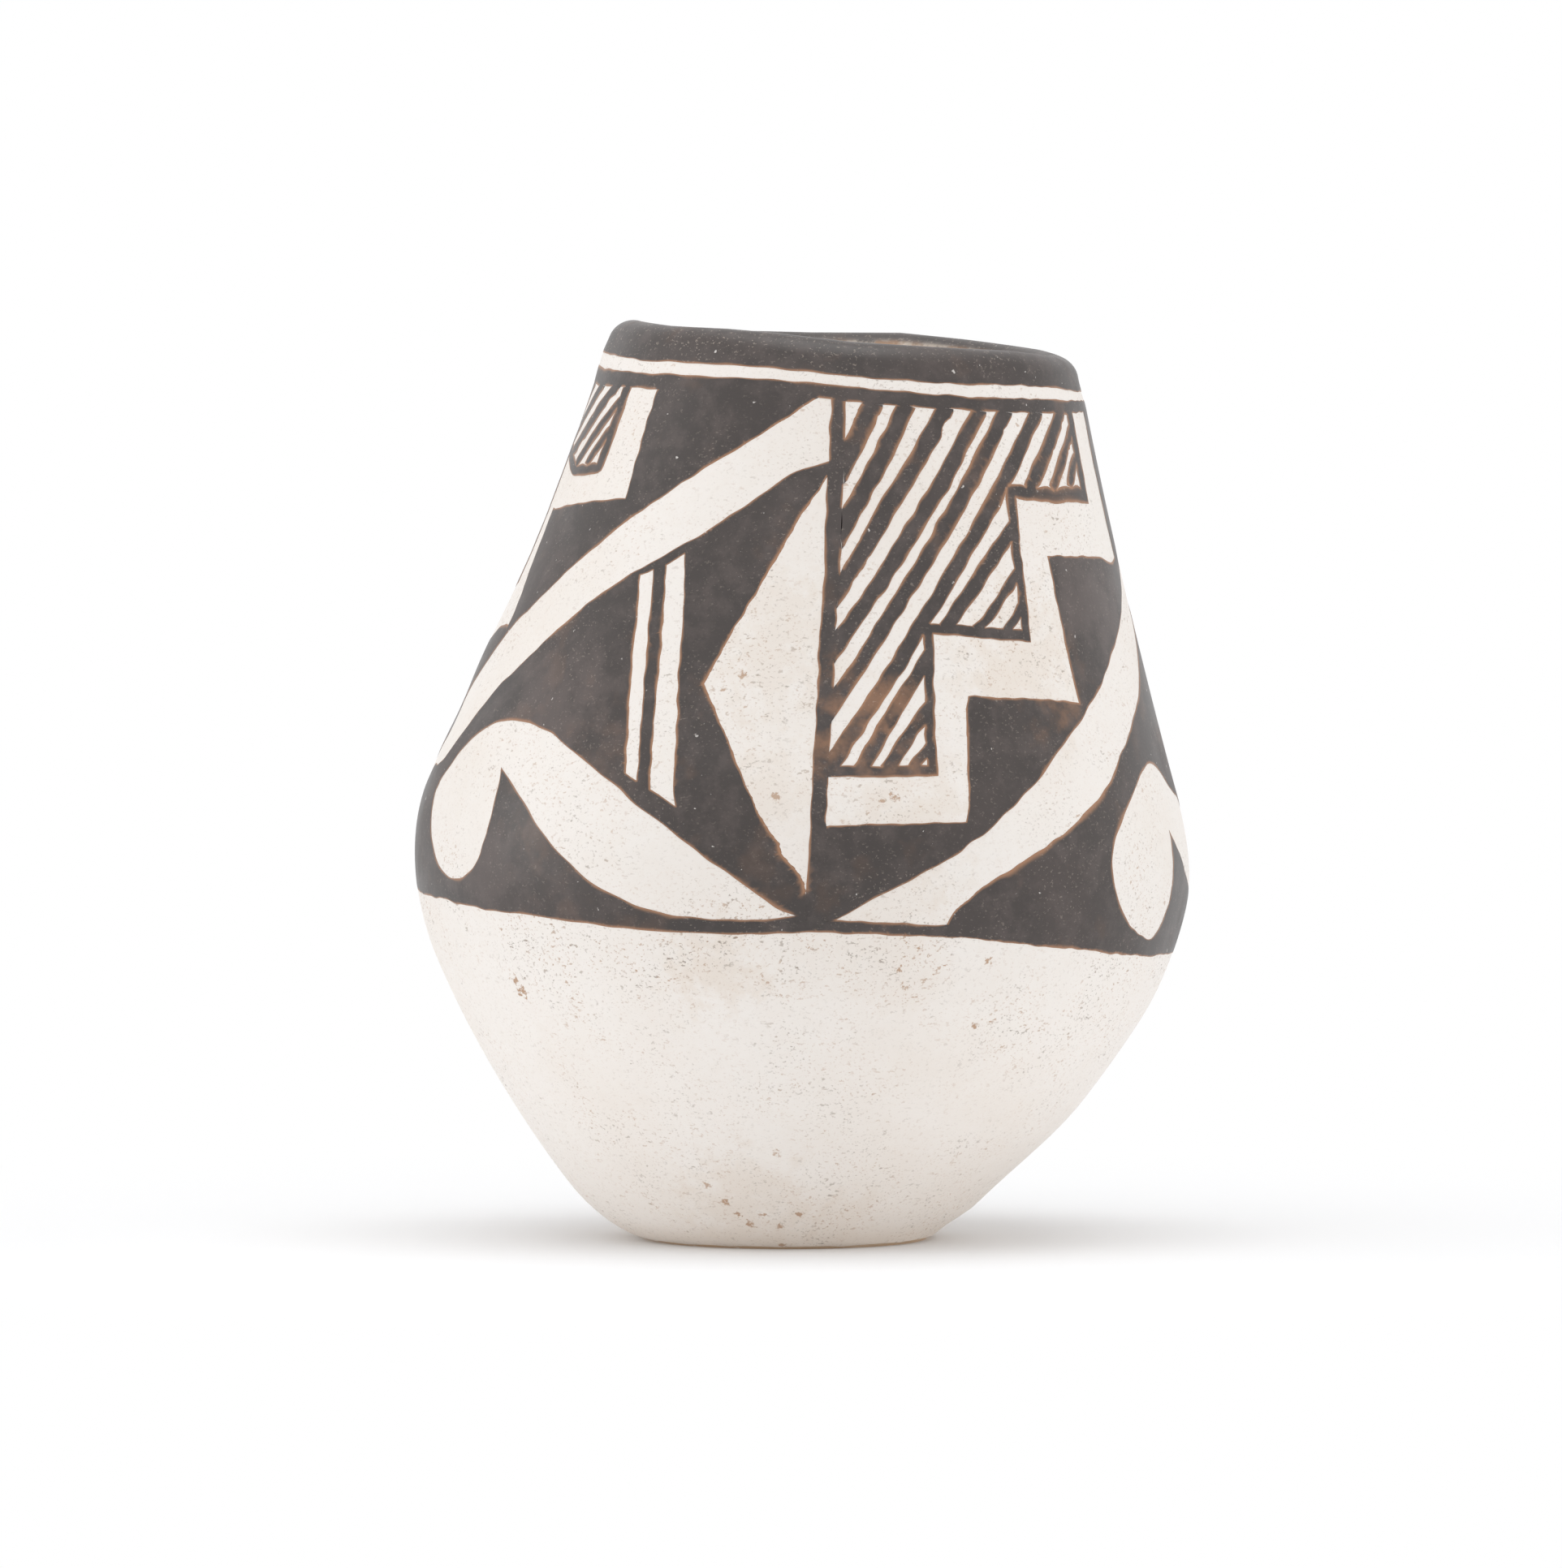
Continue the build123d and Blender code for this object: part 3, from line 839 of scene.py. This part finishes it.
def brush(piece, node, shape, outline):
    """Lays a film of paint on the slip along the line that the hand really took."""
    points = read_points(piece)
    angle, radius, height = to_jar(shape, points)
    stands, over_lip = outer_side(shape, outline, points)
    free = 1 - ease(height, *(shape.wall_height - np.array(STRAY_END)))
    slip_across, slip_up = figure_slips(node, outline, angle, height)
    across = slip_across + shape.brush_sway * waves(points, *SWAY_ACROSS)
    angle = angle + across / radius * free
    up = brush_stray(angle, height) + slip_up + shape.brush_sway * waves(points, *SWAY_UP)
    new_height = np.where(over_lip, height, height + up * free)
    full = np.empty(len(points))
    piece.data.attributes["full_paint"].data.foreach_get("value", full)
    outer = stands > shape.paint_thickness / 2
    # A film is half as high at its border, and its back is sunk into the slip
    relief = shape.paint_relief * np.where(outer, 0.5 + 0.5 * full, -0.5)
    radial, axial = outline.normal(new_height)
    on_wall = (outline.radius(new_height) + radial * relief, new_height + axial * relief)
    from_lip = outline.from_lip(radius, height)
    from_lip /= np.linalg.norm(from_lip, axis=1)[:, None]
    on_lip = np.array(outline.lip_centre)[:, None] + from_lip.T * (outline.lip_radius + relief)
    new_radius, new_height = np.where(over_lip, on_lip, on_wall)
    inwards = -from_lip @ np.array(outline.rim_normal)
    mark_points(piece, "worn_lip", np.where(over_lip, ease(inwards, *WORN_LIP), 0.0))
    write_points(piece, hand_built(shape, from_jar(shape, angle, new_radius, new_height)))


def shade_as_slip(piece):
    """Takes the shading of a film from the slip that it lies on."""
    select_only(piece)
    change = piece.modifiers.new("Shading", "DATA_TRANSFER")
    change.object = bpy.data.objects["slip_skin"]
    change.use_loop_data = True
    change.data_types_loops = {"CUSTOM_NORMAL"}
    change.loop_mapping = "POLYINTERP_NEAREST"
    bpy.ops.object.modifier_apply(modifier=change.name)


def painted_pieces(shape, nodes):
    """Painted figures or lines, from their CAD nodes."""
    outline = Outline(shape)
    paint = finish_named("Mineral paint", paint_finish)
    trees = film_trees()
    for node in nodes:
        piece = copy_node(node, "painted_" + node)
        split_edges(piece, film_edges(shape, outline))
        mark_border(piece, node, shape, outline, trees)
        brush(piece, node, shape, outline)
        dress(piece, node, paint)
        shade_as_slip(piece)


# Node trees

class Tree:
    """Adds nodes to a material's or a group's tree."""

    def __init__(self, tree):
        self.tree = tree

    def add(self, kind, sockets=None, **settings):
        """A node with its settings, and its inputs set or linked by name or number."""
        made = self.tree.nodes.new(kind)
        for name, value in settings.items():
            setattr(made, name, value)
        for name, value in (sockets or {}).items():
            self.put(made.inputs[name], value)
        return made

    def put(self, socket, value):
        """Links or sets one input."""
        if isinstance(value, bpy.types.NodeSocket):
            self.tree.links.new(value, socket)
        elif socket.type == "RGBA" and len(value) == 3:
            socket.default_value = (*value, 1.0)
        else:
            socket.default_value = value

    def math(self, operation, first, second):
        """A sum on two values."""
        return self.add("ShaderNodeMath", {0: first, 1: second}, operation=operation).outputs[0]

    def ramp(self, value, low, high, start=0.0, end=1.0):
        """A smooth step of a value between two levels."""
        sockets = {"Value": value, "From Min": low, "From Max": high, "To Min": start, "To Max": end}
        return self.add("ShaderNodeMapRange", sockets, interpolation_type="SMOOTHSTEP").outputs[0]

    def mix(self, share, first, second):
        """A mix of two colours."""
        sockets = {"Factor": share, 6: first, 7: second}
        return self.add("ShaderNodeMix", sockets, data_type="RGBA").outputs[2]

    def tint(self, colour, over, mask, share):
        """A colour with a share of another laid over it where a mask lets it."""
        return self.mix(self.math("MULTIPLY", mask, share), colour, over)

    def noise(self, place, scale, detail=3.0, roughness=0.55):
        """The value of a noise over a place."""
        sockets = {"Vector": place, "Scale": scale, "Detail": detail, "Roughness": roughness}
        return self.add("ShaderNodeTexNoise", sockets).outputs["Fac"]

    def parts(self, place):
        """The three parts of a place."""
        return self.add("ShaderNodeSeparateXYZ", {0: place}).outputs

    def mark(self, name):
        """A value that the piece keeps for its vertices."""
        return self.add("ShaderNodeAttribute", attribute_name=name).outputs["Fac"]

    def group(self, name, sockets):
        """A shared effect, placed with its own values."""
        return self.add("ShaderNodeGroup", sockets, node_tree=bpy.data.node_groups[name]).outputs

    def raise_surface(self, shader, layers, strength, distance):
        """Bumps of a surface, from masks and how far each stands out of it."""
        height = 0.0
        for mask, stands in layers:
            height = self.math("ADD", height, self.math("MULTIPLY", mask, stands))
        bump = self.add("ShaderNodeBump", {"Strength": strength, "Distance": distance, "Height": height})
        self.put(shader.inputs["Normal"], bump.outputs[0])


def new_group(name, inputs, outputs):
    """An empty node group with its sockets, its tree and its two ends."""
    group = bpy.data.node_groups.new(name, "ShaderNodeTree")
    for socket, kind in inputs:
        group.interface.new_socket(name=socket, in_out="INPUT", socket_type="NodeSocket" + kind)
    for socket, kind in outputs:
        group.interface.new_socket(name=socket, in_out="OUTPUT", socket_type="NodeSocket" + kind)
    start = group.nodes.new("NodeGroupInput")
    end = group.nodes.new("NodeGroupOutput")
    return Tree(group), start.outputs, end.inputs


def make_specks_group():
    """Scattered specks of uneven size: the share of cells that carry one, and its reach in a cell."""
    tree, given, wanted = new_group(
        "Specks",
        (("Place", "Vector"), ("Cells", "Float"), ("Reach", "Float"), ("Share", "Float")),
        (("Mask", "Float"),))
    wobble_scale = tree.math("MULTIPLY", given["Cells"], 3.0)
    wobble = tree.add("ShaderNodeTexNoise", {"Vector": given["Place"], "Scale": wobble_scale, "Detail": 1.0})
    halves = {0: wobble.outputs["Color"], 1: (0.5, 0.5, 0.5)}
    centred = tree.add("ShaderNodeVectorMath", halves, operation="SUBTRACT")
    push = {0: centred.outputs[0], "Scale": tree.math("DIVIDE", 0.55, given["Cells"])}
    pushed = tree.add("ShaderNodeVectorMath", push, operation="SCALE")
    place = tree.add("ShaderNodeVectorMath", {0: given["Place"], 1: pushed.outputs[0]}, operation="ADD")
    cells = tree.add("ShaderNodeTexVoronoi", {"Vector": place.outputs[0], "Scale": given["Cells"]})
    chance = tree.add("ShaderNodeSeparateColor", {"Color": cells.outputs["Color"]}).outputs
    size = tree.math("MULTIPLY", given["Reach"], tree.math("POWER", chance[0], 2.0))
    spot = tree.ramp(tree.math("DIVIDE", cells.outputs["Distance"], tree.math("ADD", size, 0.001)), 1.0, 0.45)
    carries = tree.math("LESS_THAN", chance[1], given["Share"])
    tree.put(wanted["Mask"], tree.math("MULTIPLY", spot, carries))


def make_flecks_group():
    """Ragged flecks that lie round the jar: the peaks of a noise above the least level, drawn out by Flat."""
    tree, given, wanted = new_group(
        "Flecks",
        (("Place", "Vector"), ("Scale", "Float"), ("Flat", "Float"), ("Least", "Float")),
        (("Mask", "Float"),))
    parts = tree.parts(given["Place"])
    tall = tree.math("MULTIPLY", parts[2], given["Flat"])
    place = tree.add("ShaderNodeCombineXYZ", {0: parts[0], 1: parts[1], 2: tall}).outputs[0]
    peaks = tree.noise(place, given["Scale"], 2.0, 0.6)
    tree.put(wanted["Mask"], tree.ramp(peaks, given["Least"], tree.math("ADD", given["Least"], 0.07)))


def make_spot_group():
    """One soft spot, with the edge that an uneven value gives it."""
    tree, given, wanted = new_group(
        "Soft spot",
        (("Place", "Vector"), ("Centre", "Vector"), ("Reach", "Float"), ("Uneven", "Float")),
        (("Mask", "Float"),))
    gap = tree.add("ShaderNodeVectorMath", {0: given["Place"], 1: given["Centre"]}, operation="DISTANCE")
    share = tree.math("DIVIDE", gap.outputs["Value"], given["Reach"])
    tree.put(wanted["Mask"], tree.ramp(tree.math("ADD", share, given["Uneven"]), 1.0, 0.2))


def make_rubbed_group():
    """Fine streaks left by the polishing stone, lying round the jar, and the grain between them."""
    tree, given, wanted = new_group(
        "Rubbed grain", (("Place", "Vector"),), (("Streaks", "Float"), ("Grain", "Float")))
    flat = tree.add("ShaderNodeMapping", {"Vector": given["Place"], "Scale": (1.0, 1.0, 9.0)}).outputs[0]
    tree.put(wanted["Streaks"], tree.noise(flat, 190.0, 4.0, 0.6))
    tree.put(wanted["Grain"], tree.noise(given["Place"], 2600.0, 3.0, 0.6))


# Finishes

def new_material(name, roughness):
    """A material with its tree, its shader and the place on the piece."""
    material = bpy.data.materials.new(name)
    material.use_nodes = True
    tree = Tree(material.node_tree)
    shader = material.node_tree.nodes["Principled BSDF"]
    shader.inputs["Roughness"].default_value = roughness
    place = tree.add("ShaderNodeTexCoord").outputs["Object"]
    return material, tree, shader, place


def wall_spots(tree, place, uneven, spots):
    """The mask of each soft spot on the wall and its share of the colour."""
    shape = bpy.context.scene.jar_shape
    degrees, level, reach, share = np.array(spots).T
    height = level / 1000
    even = from_jar(shape, np.radians(degrees), Outline(shape).radius(height), height)
    for centre, far, part in zip(hand_built(shape, even), reach / 1000, share):
        sockets = {"Place": place, "Centre": tuple(centre), "Reach": far, "Uneven": uneven}
        yield tree.group("Soft spot", sockets)["Mask"], part


def slip_finish(finish):
    """The polished white slip: warm clouds and stains, flecks, scuffs, and the worn clay inside the mouth."""
    material, tree, shader, place = new_material("White slip", 0.5)
    height = tree.parts(place)[2]
    cloud = tree.ramp(tree.noise(place, 45.0, 4.0), 0.40, 0.75)
    colour = tree.tint(finish.slip, finish.stain, cloud, 0.22)
    foot_stain = tree.ramp(height, 0.012, 0.001, 0.0, 0.16)
    sole_line = tree.ramp(height, 0.0028, 0.0006, 0.0, 0.35)
    colour = tree.mix(tree.math("ADD", foot_stain, sole_line), colour, finish.stain)
    uneven = tree.ramp(tree.noise(place, 420.0, 4.0, 0.65), 0.0, 1.0, -0.9, 0.9)
    scuffed = 0.0
    for spot, share in wall_spots(tree, place, uneven, STAINS):
        colour = tree.tint(colour, finish.stain, spot, share)
        scuffed = tree.math("MAXIMUM", scuffed, spot)
    mottle = tree.ramp(tree.noise(place, 900.0, 5.0, 0.7), 0.35, 0.75)
    colour = tree.tint(colour, finish.stain, mottle, 0.10)
    patchy = tree.ramp(tree.noise(place, 110.0, 3.0), 0.38, 0.66, 0.25, 1.0)
    patchy = tree.math("MULTIPLY", patchy, tree.ramp(height, 0.010, 0.031, 0.85, 1.1))
    patchy = tree.math("MULTIPLY", patchy, tree.ramp(height, 0.033, 0.041, 1.0, 0.65))
    crowd = tree.math("ADD", patchy, tree.math("MULTIPLY", scuffed, 0.25))
    fleck_colour = tree.mix(tree.ramp(tree.noise(place, 300.0, 2.0), 0.42, 0.58), finish.speck, finish.rust)
    marks = 0.0
    for scale, flat, least, share in SLIP_FLECKS:
        fleck = tree.group("Flecks", {"Place": place, "Scale": scale, "Flat": flat, "Least": least})
        strength = tree.math("MULTIPLY", tree.math("MULTIPLY", fleck["Mask"], share), crowd)
        colour = tree.mix(strength, colour, fleck_colour)
        marks = tree.math("MAXIMUM", marks, strength)
    rough = tree.ramp(tree.noise(place, 2600.0, 3.0, 0.6), 0.0, 1.0, -1.8, 1.8)
    for spot, share in wall_spots(tree, place, rough, RUST_SPOTS):
        colour = tree.tint(colour, finish.rust, spot, share)
        marks = tree.math("MAXIMUM", marks, spot)
    worn = tree.ramp(tree.noise(place, 260.0, 5.0, 0.65), 0.40, 0.58, 0.25, 0.95)
    colour = tree.tint(colour, finish.clay, tree.mark("inside"), worn)
    tree.put(shader.inputs["Base Color"], colour)
    rubbed = tree.group("Rubbed grain", {"Place": place})
    tree.put(shader.inputs["Roughness"], tree.ramp(rubbed["Streaks"], 0.3, 0.75, 0.46, 0.62))
    layers = ((rubbed["Streaks"], 0.5), (rubbed["Grain"], 0.3), (marks, -0.4))
    tree.raise_surface(shader, layers, 0.25, 0.0001)
    return material


def paint_finish(finish):
    """The black mineral paint: rubbed patches, a painted sheen and rim highlight, thin brown strokes and
    edges, pinholes and a worn lip.
    """
    material, tree, shader, place = new_material("Mineral paint", 0.42)
    height = tree.parts(place)[2]
    patch = tree.ramp(tree.noise(place, 62.0, 4.0, 0.6), 0.42, 0.70)
    colour = tree.tint(finish.paint, finish.worn_paint_and_sheen, patch, 0.25)
    brushed = tree.ramp(tree.noise(place, 420.0, 5.0, 0.65), 0.42, 0.70)
    colour = tree.tint(colour, finish.worn_paint_and_sheen, brushed, 0.40)
    uneven = tree.ramp(tree.noise(place, 260.0, 4.0, 0.65), 0.0, 1.0, -0.8, 0.8)
    # Grey places: partly rubbed paint, partly a sheen of light painted into the colour
    for spot, share in wall_spots(tree, place, uneven, WORN_AND_SHEEN_PLACES):
        colour = tree.tint(colour, finish.worn_paint_and_sheen, spot, share)
    thin = tree.ramp(tree.noise(place, 330.0, 3.0), 0.38, 0.62)
    for spot, share in wall_spots(tree, place, uneven, THIN_PLACES):
        colour = tree.tint(colour, finish.thin_paint, tree.math("MULTIPLY", spot, thin), share)
    edge_width = tree.ramp(tree.noise(place, 170.0, 3.0), 0.35, 0.7, 0.45, 1.2)
    edge = tree.ramp(tree.mark("full_paint"), edge_width, 0.0)
    colour = tree.tint(colour, finish.thin_paint, edge, 0.95)
    fleck = tree.group("Flecks", {"Place": place, "Scale": 3000.0, "Flat": 1.4, "Least": 0.61})
    dust_and_rim_highlight = tree.ramp(tree.noise(place, 120.0, 3.0), 0.36, 0.66, 0.03, 0.16)
    # Towards the top of the rim the paint is lightened further: partly dust, partly a painted highlight where
    # the rim faces the lamp above
    dust_and_rim_highlight = tree.math("ADD", dust_and_rim_highlight, tree.ramp(height, 0.0835, 0.0890, 0.0, 0.20))
    colour = tree.tint(colour, finish.stain, fleck["Mask"], dust_and_rim_highlight)
    pinholes = tree.group("Specks", {"Place": place, "Cells": 1100.0, "Reach": 0.22, "Share": 0.22})
    colour = tree.tint(colour, finish.slip, pinholes["Mask"], 0.65)
    rubbed_off = tree.ramp(tree.noise(place, 330.0, 5.0, 0.65), 0.36, 0.50)
    tan_clay = tree.mix(tree.ramp(tree.noise(place, 520.0, 3.0), 0.42, 0.60), finish.stain, finish.rust)
    colour = tree.tint(colour, tan_clay, tree.mark("worn_lip"), rubbed_off)
    tree.put(shader.inputs["Base Color"], colour)
    tree.put(shader.inputs["Roughness"], tree.ramp(patch, 0.0, 1.0, 0.38, 0.50))
    rubbed = tree.group("Rubbed grain", {"Place": place})
    layers = ((rubbed["Streaks"], 0.5), (rubbed["Grain"], 0.3), (pinholes["Mask"], -0.5))
    tree.raise_surface(shader, layers, 0.25, 0.0001)
    return material


def clay_finish(finish):
    """The bare fired clay of the inside and the sole: smoked clouds, grit and wiping marks."""
    material, tree, shader, place = new_material("Fired clay", 0.85)
    height = tree.parts(place)[2]
    cloud = tree.ramp(tree.noise(place, 60.0, 5.0, 0.6), 0.38, 0.70)
    colour = tree.tint(finish.clay, finish.clay_dark, cloud, tree.ramp(height, 0.002, 0.007))
    grit = tree.group("Specks", {"Place": place, "Cells": 700.0, "Reach": 0.4, "Share": 0.5})
    colour = tree.tint(colour, finish.slip, grit["Mask"], 0.6)
    rubbed = tree.group("Rubbed grain", {"Place": place})
    colour = tree.mix(tree.ramp(rubbed["Streaks"], 0.45, 0.75, 0.0, 0.35), colour, finish.stain)
    tree.put(shader.inputs["Base Color"], colour)
    layers = ((rubbed["Streaks"], 1.0), (rubbed["Grain"], 0.6), (grit["Mask"], 0.6))
    tree.raise_surface(shader, layers, 0.5, 0.0002)
    return material


def finish_named(name, make):
    """A finish of the jar, made the first time it is asked for."""
    for group, maker in (
        ("Specks", make_specks_group),
        ("Flecks", make_flecks_group),
        ("Soft spot", make_spot_group),
        ("Rubbed grain", make_rubbed_group),
    ):
        if group not in bpy.data.node_groups:
            maker()
    return bpy.data.materials.get(name) or make(bpy.context.scene.jar_finish)


# Stage

def facing(place, aim):
    """The turn of a camera or a lamp at a place that looks at a point."""
    return (Vector(aim) - Vector(place)).to_track_quat("-Z", "Y").to_euler()


def bare_rays(tree):
    """1 for rays that come straight from the camera or off a mirror, 0 for the rest."""
    path = tree.add("ShaderNodeLightPath").outputs
    straight = tree.math("MAXIMUM", path["Is Camera Ray"], path["Is Glossy Ray"])
    return tree.math("MAXIMUM", straight, path["Is Transmission Ray"])


def floor_finish(stage):
    """A white floor that keeps the jar's shadow and is plain white away from it."""
    material, tree, shader, place = new_material("Floor", 1.0)
    tree.put(shader.inputs["Base Color"], FLOOR_WHITE)
    tree.put(shader.inputs["Specular IOR Level"], 0.0)
    tree.put(shader.inputs["Emission Color"], WHITE)
    bare = bare_rays(tree)
    glow = tree.ramp(bare, 0.0, 1.0, stage.floor_glow, stage.floor_glow / 6)
    tree.put(shader.inputs["Emission Strength"], glow)
    gap = tree.add("ShaderNodeVectorMath", {0: place}, operation="LENGTH").outputs["Value"]
    away = tree.math("MULTIPLY", bare, tree.ramp(gap, stage.shadow_reach / 3, stage.shadow_reach))
    white = tree.add("ShaderNodeEmission", {"Color": WHITE, "Strength": 1.0})
    both = tree.add("ShaderNodeMixShader", {0: away, 1: shader.outputs[0], 2: white.outputs[0]})
    tree.put(material.node_tree.nodes["Material Output"].inputs["Surface"], both.outputs[0])
    return material


def sky_light(scene, stage):
    """An even white sky, which the camera sees as plain white."""
    world = bpy.data.worlds.new("Studio")
    scene.world = world
    world.use_nodes = True
    tree = Tree(world.node_tree)
    even = world.node_tree.nodes["Background"]
    tree.put(even.inputs["Color"], WHITE)
    tree.put(even.inputs["Strength"], stage.sky)
    white = tree.add("ShaderNodeBackground", {"Color": WHITE, "Strength": 1.0})
    both = tree.add("ShaderNodeMixShader", {0: bare_rays(tree), 1: even.outputs[0], 2: white.outputs[0]})
    tree.put(world.node_tree.nodes["World Output"].inputs["Surface"], both.outputs[0])


# Operators

class BuildClay(bpy.types.Operator):
    """Builds the base, the coils of the wall and the rim coil"""

    bl_idname = "jar.build_clay"
    bl_label = "Clay"

    def execute(self, context):
        shape = context.scene.jar_shape
        outline = Outline(shape)
        clay = finish_named("Fired clay", clay_finish)
        for node in ("base", *(f"wall_coil_{number}" for number in COILS), "rim_coil"):
            clay_piece(shape, outline, node, clay)
        return {"FINISHED"}


class LaySlip(bpy.types.Operator):
    """Lays the white slip over the clay"""

    bl_idname = "jar.lay_slip"
    bl_label = "Slip"

    def execute(self, context):
        shape = context.scene.jar_shape
        slip_piece(shape, Outline(shape), finish_named("White slip", slip_finish))
        return {"FINISHED"}


class PaintLines(bpy.types.Operator):
    """Paints the rim band, the neck line and the base line"""

    bl_idname = "jar.paint_lines"
    bl_label = "Painted lines"

    def execute(self, context):
        painted_pieces(context.scene.jar_shape, LINES)
        return {"FINISHED"}


class PaintFigures(bpy.types.Operator):
    """Paints the divider, the hatched step, the terrace and the leaf of each panel"""

    bl_idname = "jar.paint_figures"
    bl_label = "Painted figures"

    def execute(self, context):
        nodes = [f"{figure}_{number}" for number in PANELS for figure in FIGURES]
        painted_pieces(context.scene.jar_shape, nodes)
        return {"FINISHED"}


class SetStage(bpy.types.Operator):
    """Sets the camera, the floor and the light"""

    bl_idname = "jar.set_stage"
    bl_label = "Stage"

    def execute(self, context):
        stage = context.scene.jar_stage
        scene = context.scene
        scene.view_settings.view_transform = "Standard"
        bpy.ops.object.select_all(action="DESELECT")
        bpy.ops.object.camera_add(location=stage.eye, rotation=facing(stage.eye, stage.aim))
        scene.camera = context.object
        scene.camera.data.lens = stage.lens
        scene.camera.data.sensor_width = SENSOR_WIDTH
        scene.camera.data.sensor_fit = "AUTO"
        bpy.ops.mesh.primitive_plane_add(size=stage.floor_size)
        floor = context.object
        floor.name = "floor"
        floor.data.materials.append(floor_finish(stage))
        for name, setting, place, size, share, in_gloss in LAMPS:
            bpy.ops.object.light_add(type="AREA", location=place, rotation=facing(place, LAMP_AIM))
            lamp = context.object
            lamp.name = name
            lamp.data.size = size
            lamp.data.energy = getattr(stage, setting) * share
            lamp.visible_glossy = in_gloss
        sky_light(scene, stage)
        return {"FINISHED"}


class JarPanel(bpy.types.Panel):
    """The jar's pieces, sizes and colours"""

    bl_idname = "VIEW3D_PT_pottery_jar"
    bl_label = "Pottery jar"
    bl_space_type = "VIEW_3D"
    bl_region_type = "UI"
    bl_category = "Jar"

    def draw(self, context):
        for operator in OPERATORS:
            self.layout.operator(operator.bl_idname)
        for group in (context.scene.jar_shape, context.scene.jar_finish, context.scene.jar_stage):
            box = self.layout.box()
            for name in group.__annotations__:
                box.prop(group, name)


OPERATORS = (SetStage, BuildClay, LaySlip, PaintLines, PaintFigures)
CLASSES = (JarShape, JarFinish, JarStage, *OPERATORS, JarPanel)


def register():
    """Registers the classes and puts the jar's settings on the scene."""
    for entry in CLASSES:
        bpy.utils.register_class(entry)
    bpy.types.Scene.jar_shape = PointerProperty(type=JarShape)
    bpy.types.Scene.jar_finish = PointerProperty(type=JarFinish)
    bpy.types.Scene.jar_stage = PointerProperty(type=JarStage)


def unregister():
    """Takes the settings and the classes away."""
    del bpy.types.Scene.jar_shape
    del bpy.types.Scene.jar_finish
    del bpy.types.Scene.jar_stage
    for entry in reversed(CLASSES):
        bpy.utils.unregister_class(entry)


def main():
    """Builds the jar and its stage."""
    register()
    bpy.ops.jar.set_stage()
    bpy.ops.jar.build_clay()
    bpy.ops.jar.lay_slip()
    bpy.ops.jar.paint_lines()
    bpy.ops.jar.paint_figures()


if __name__ == "__main__":
    main()
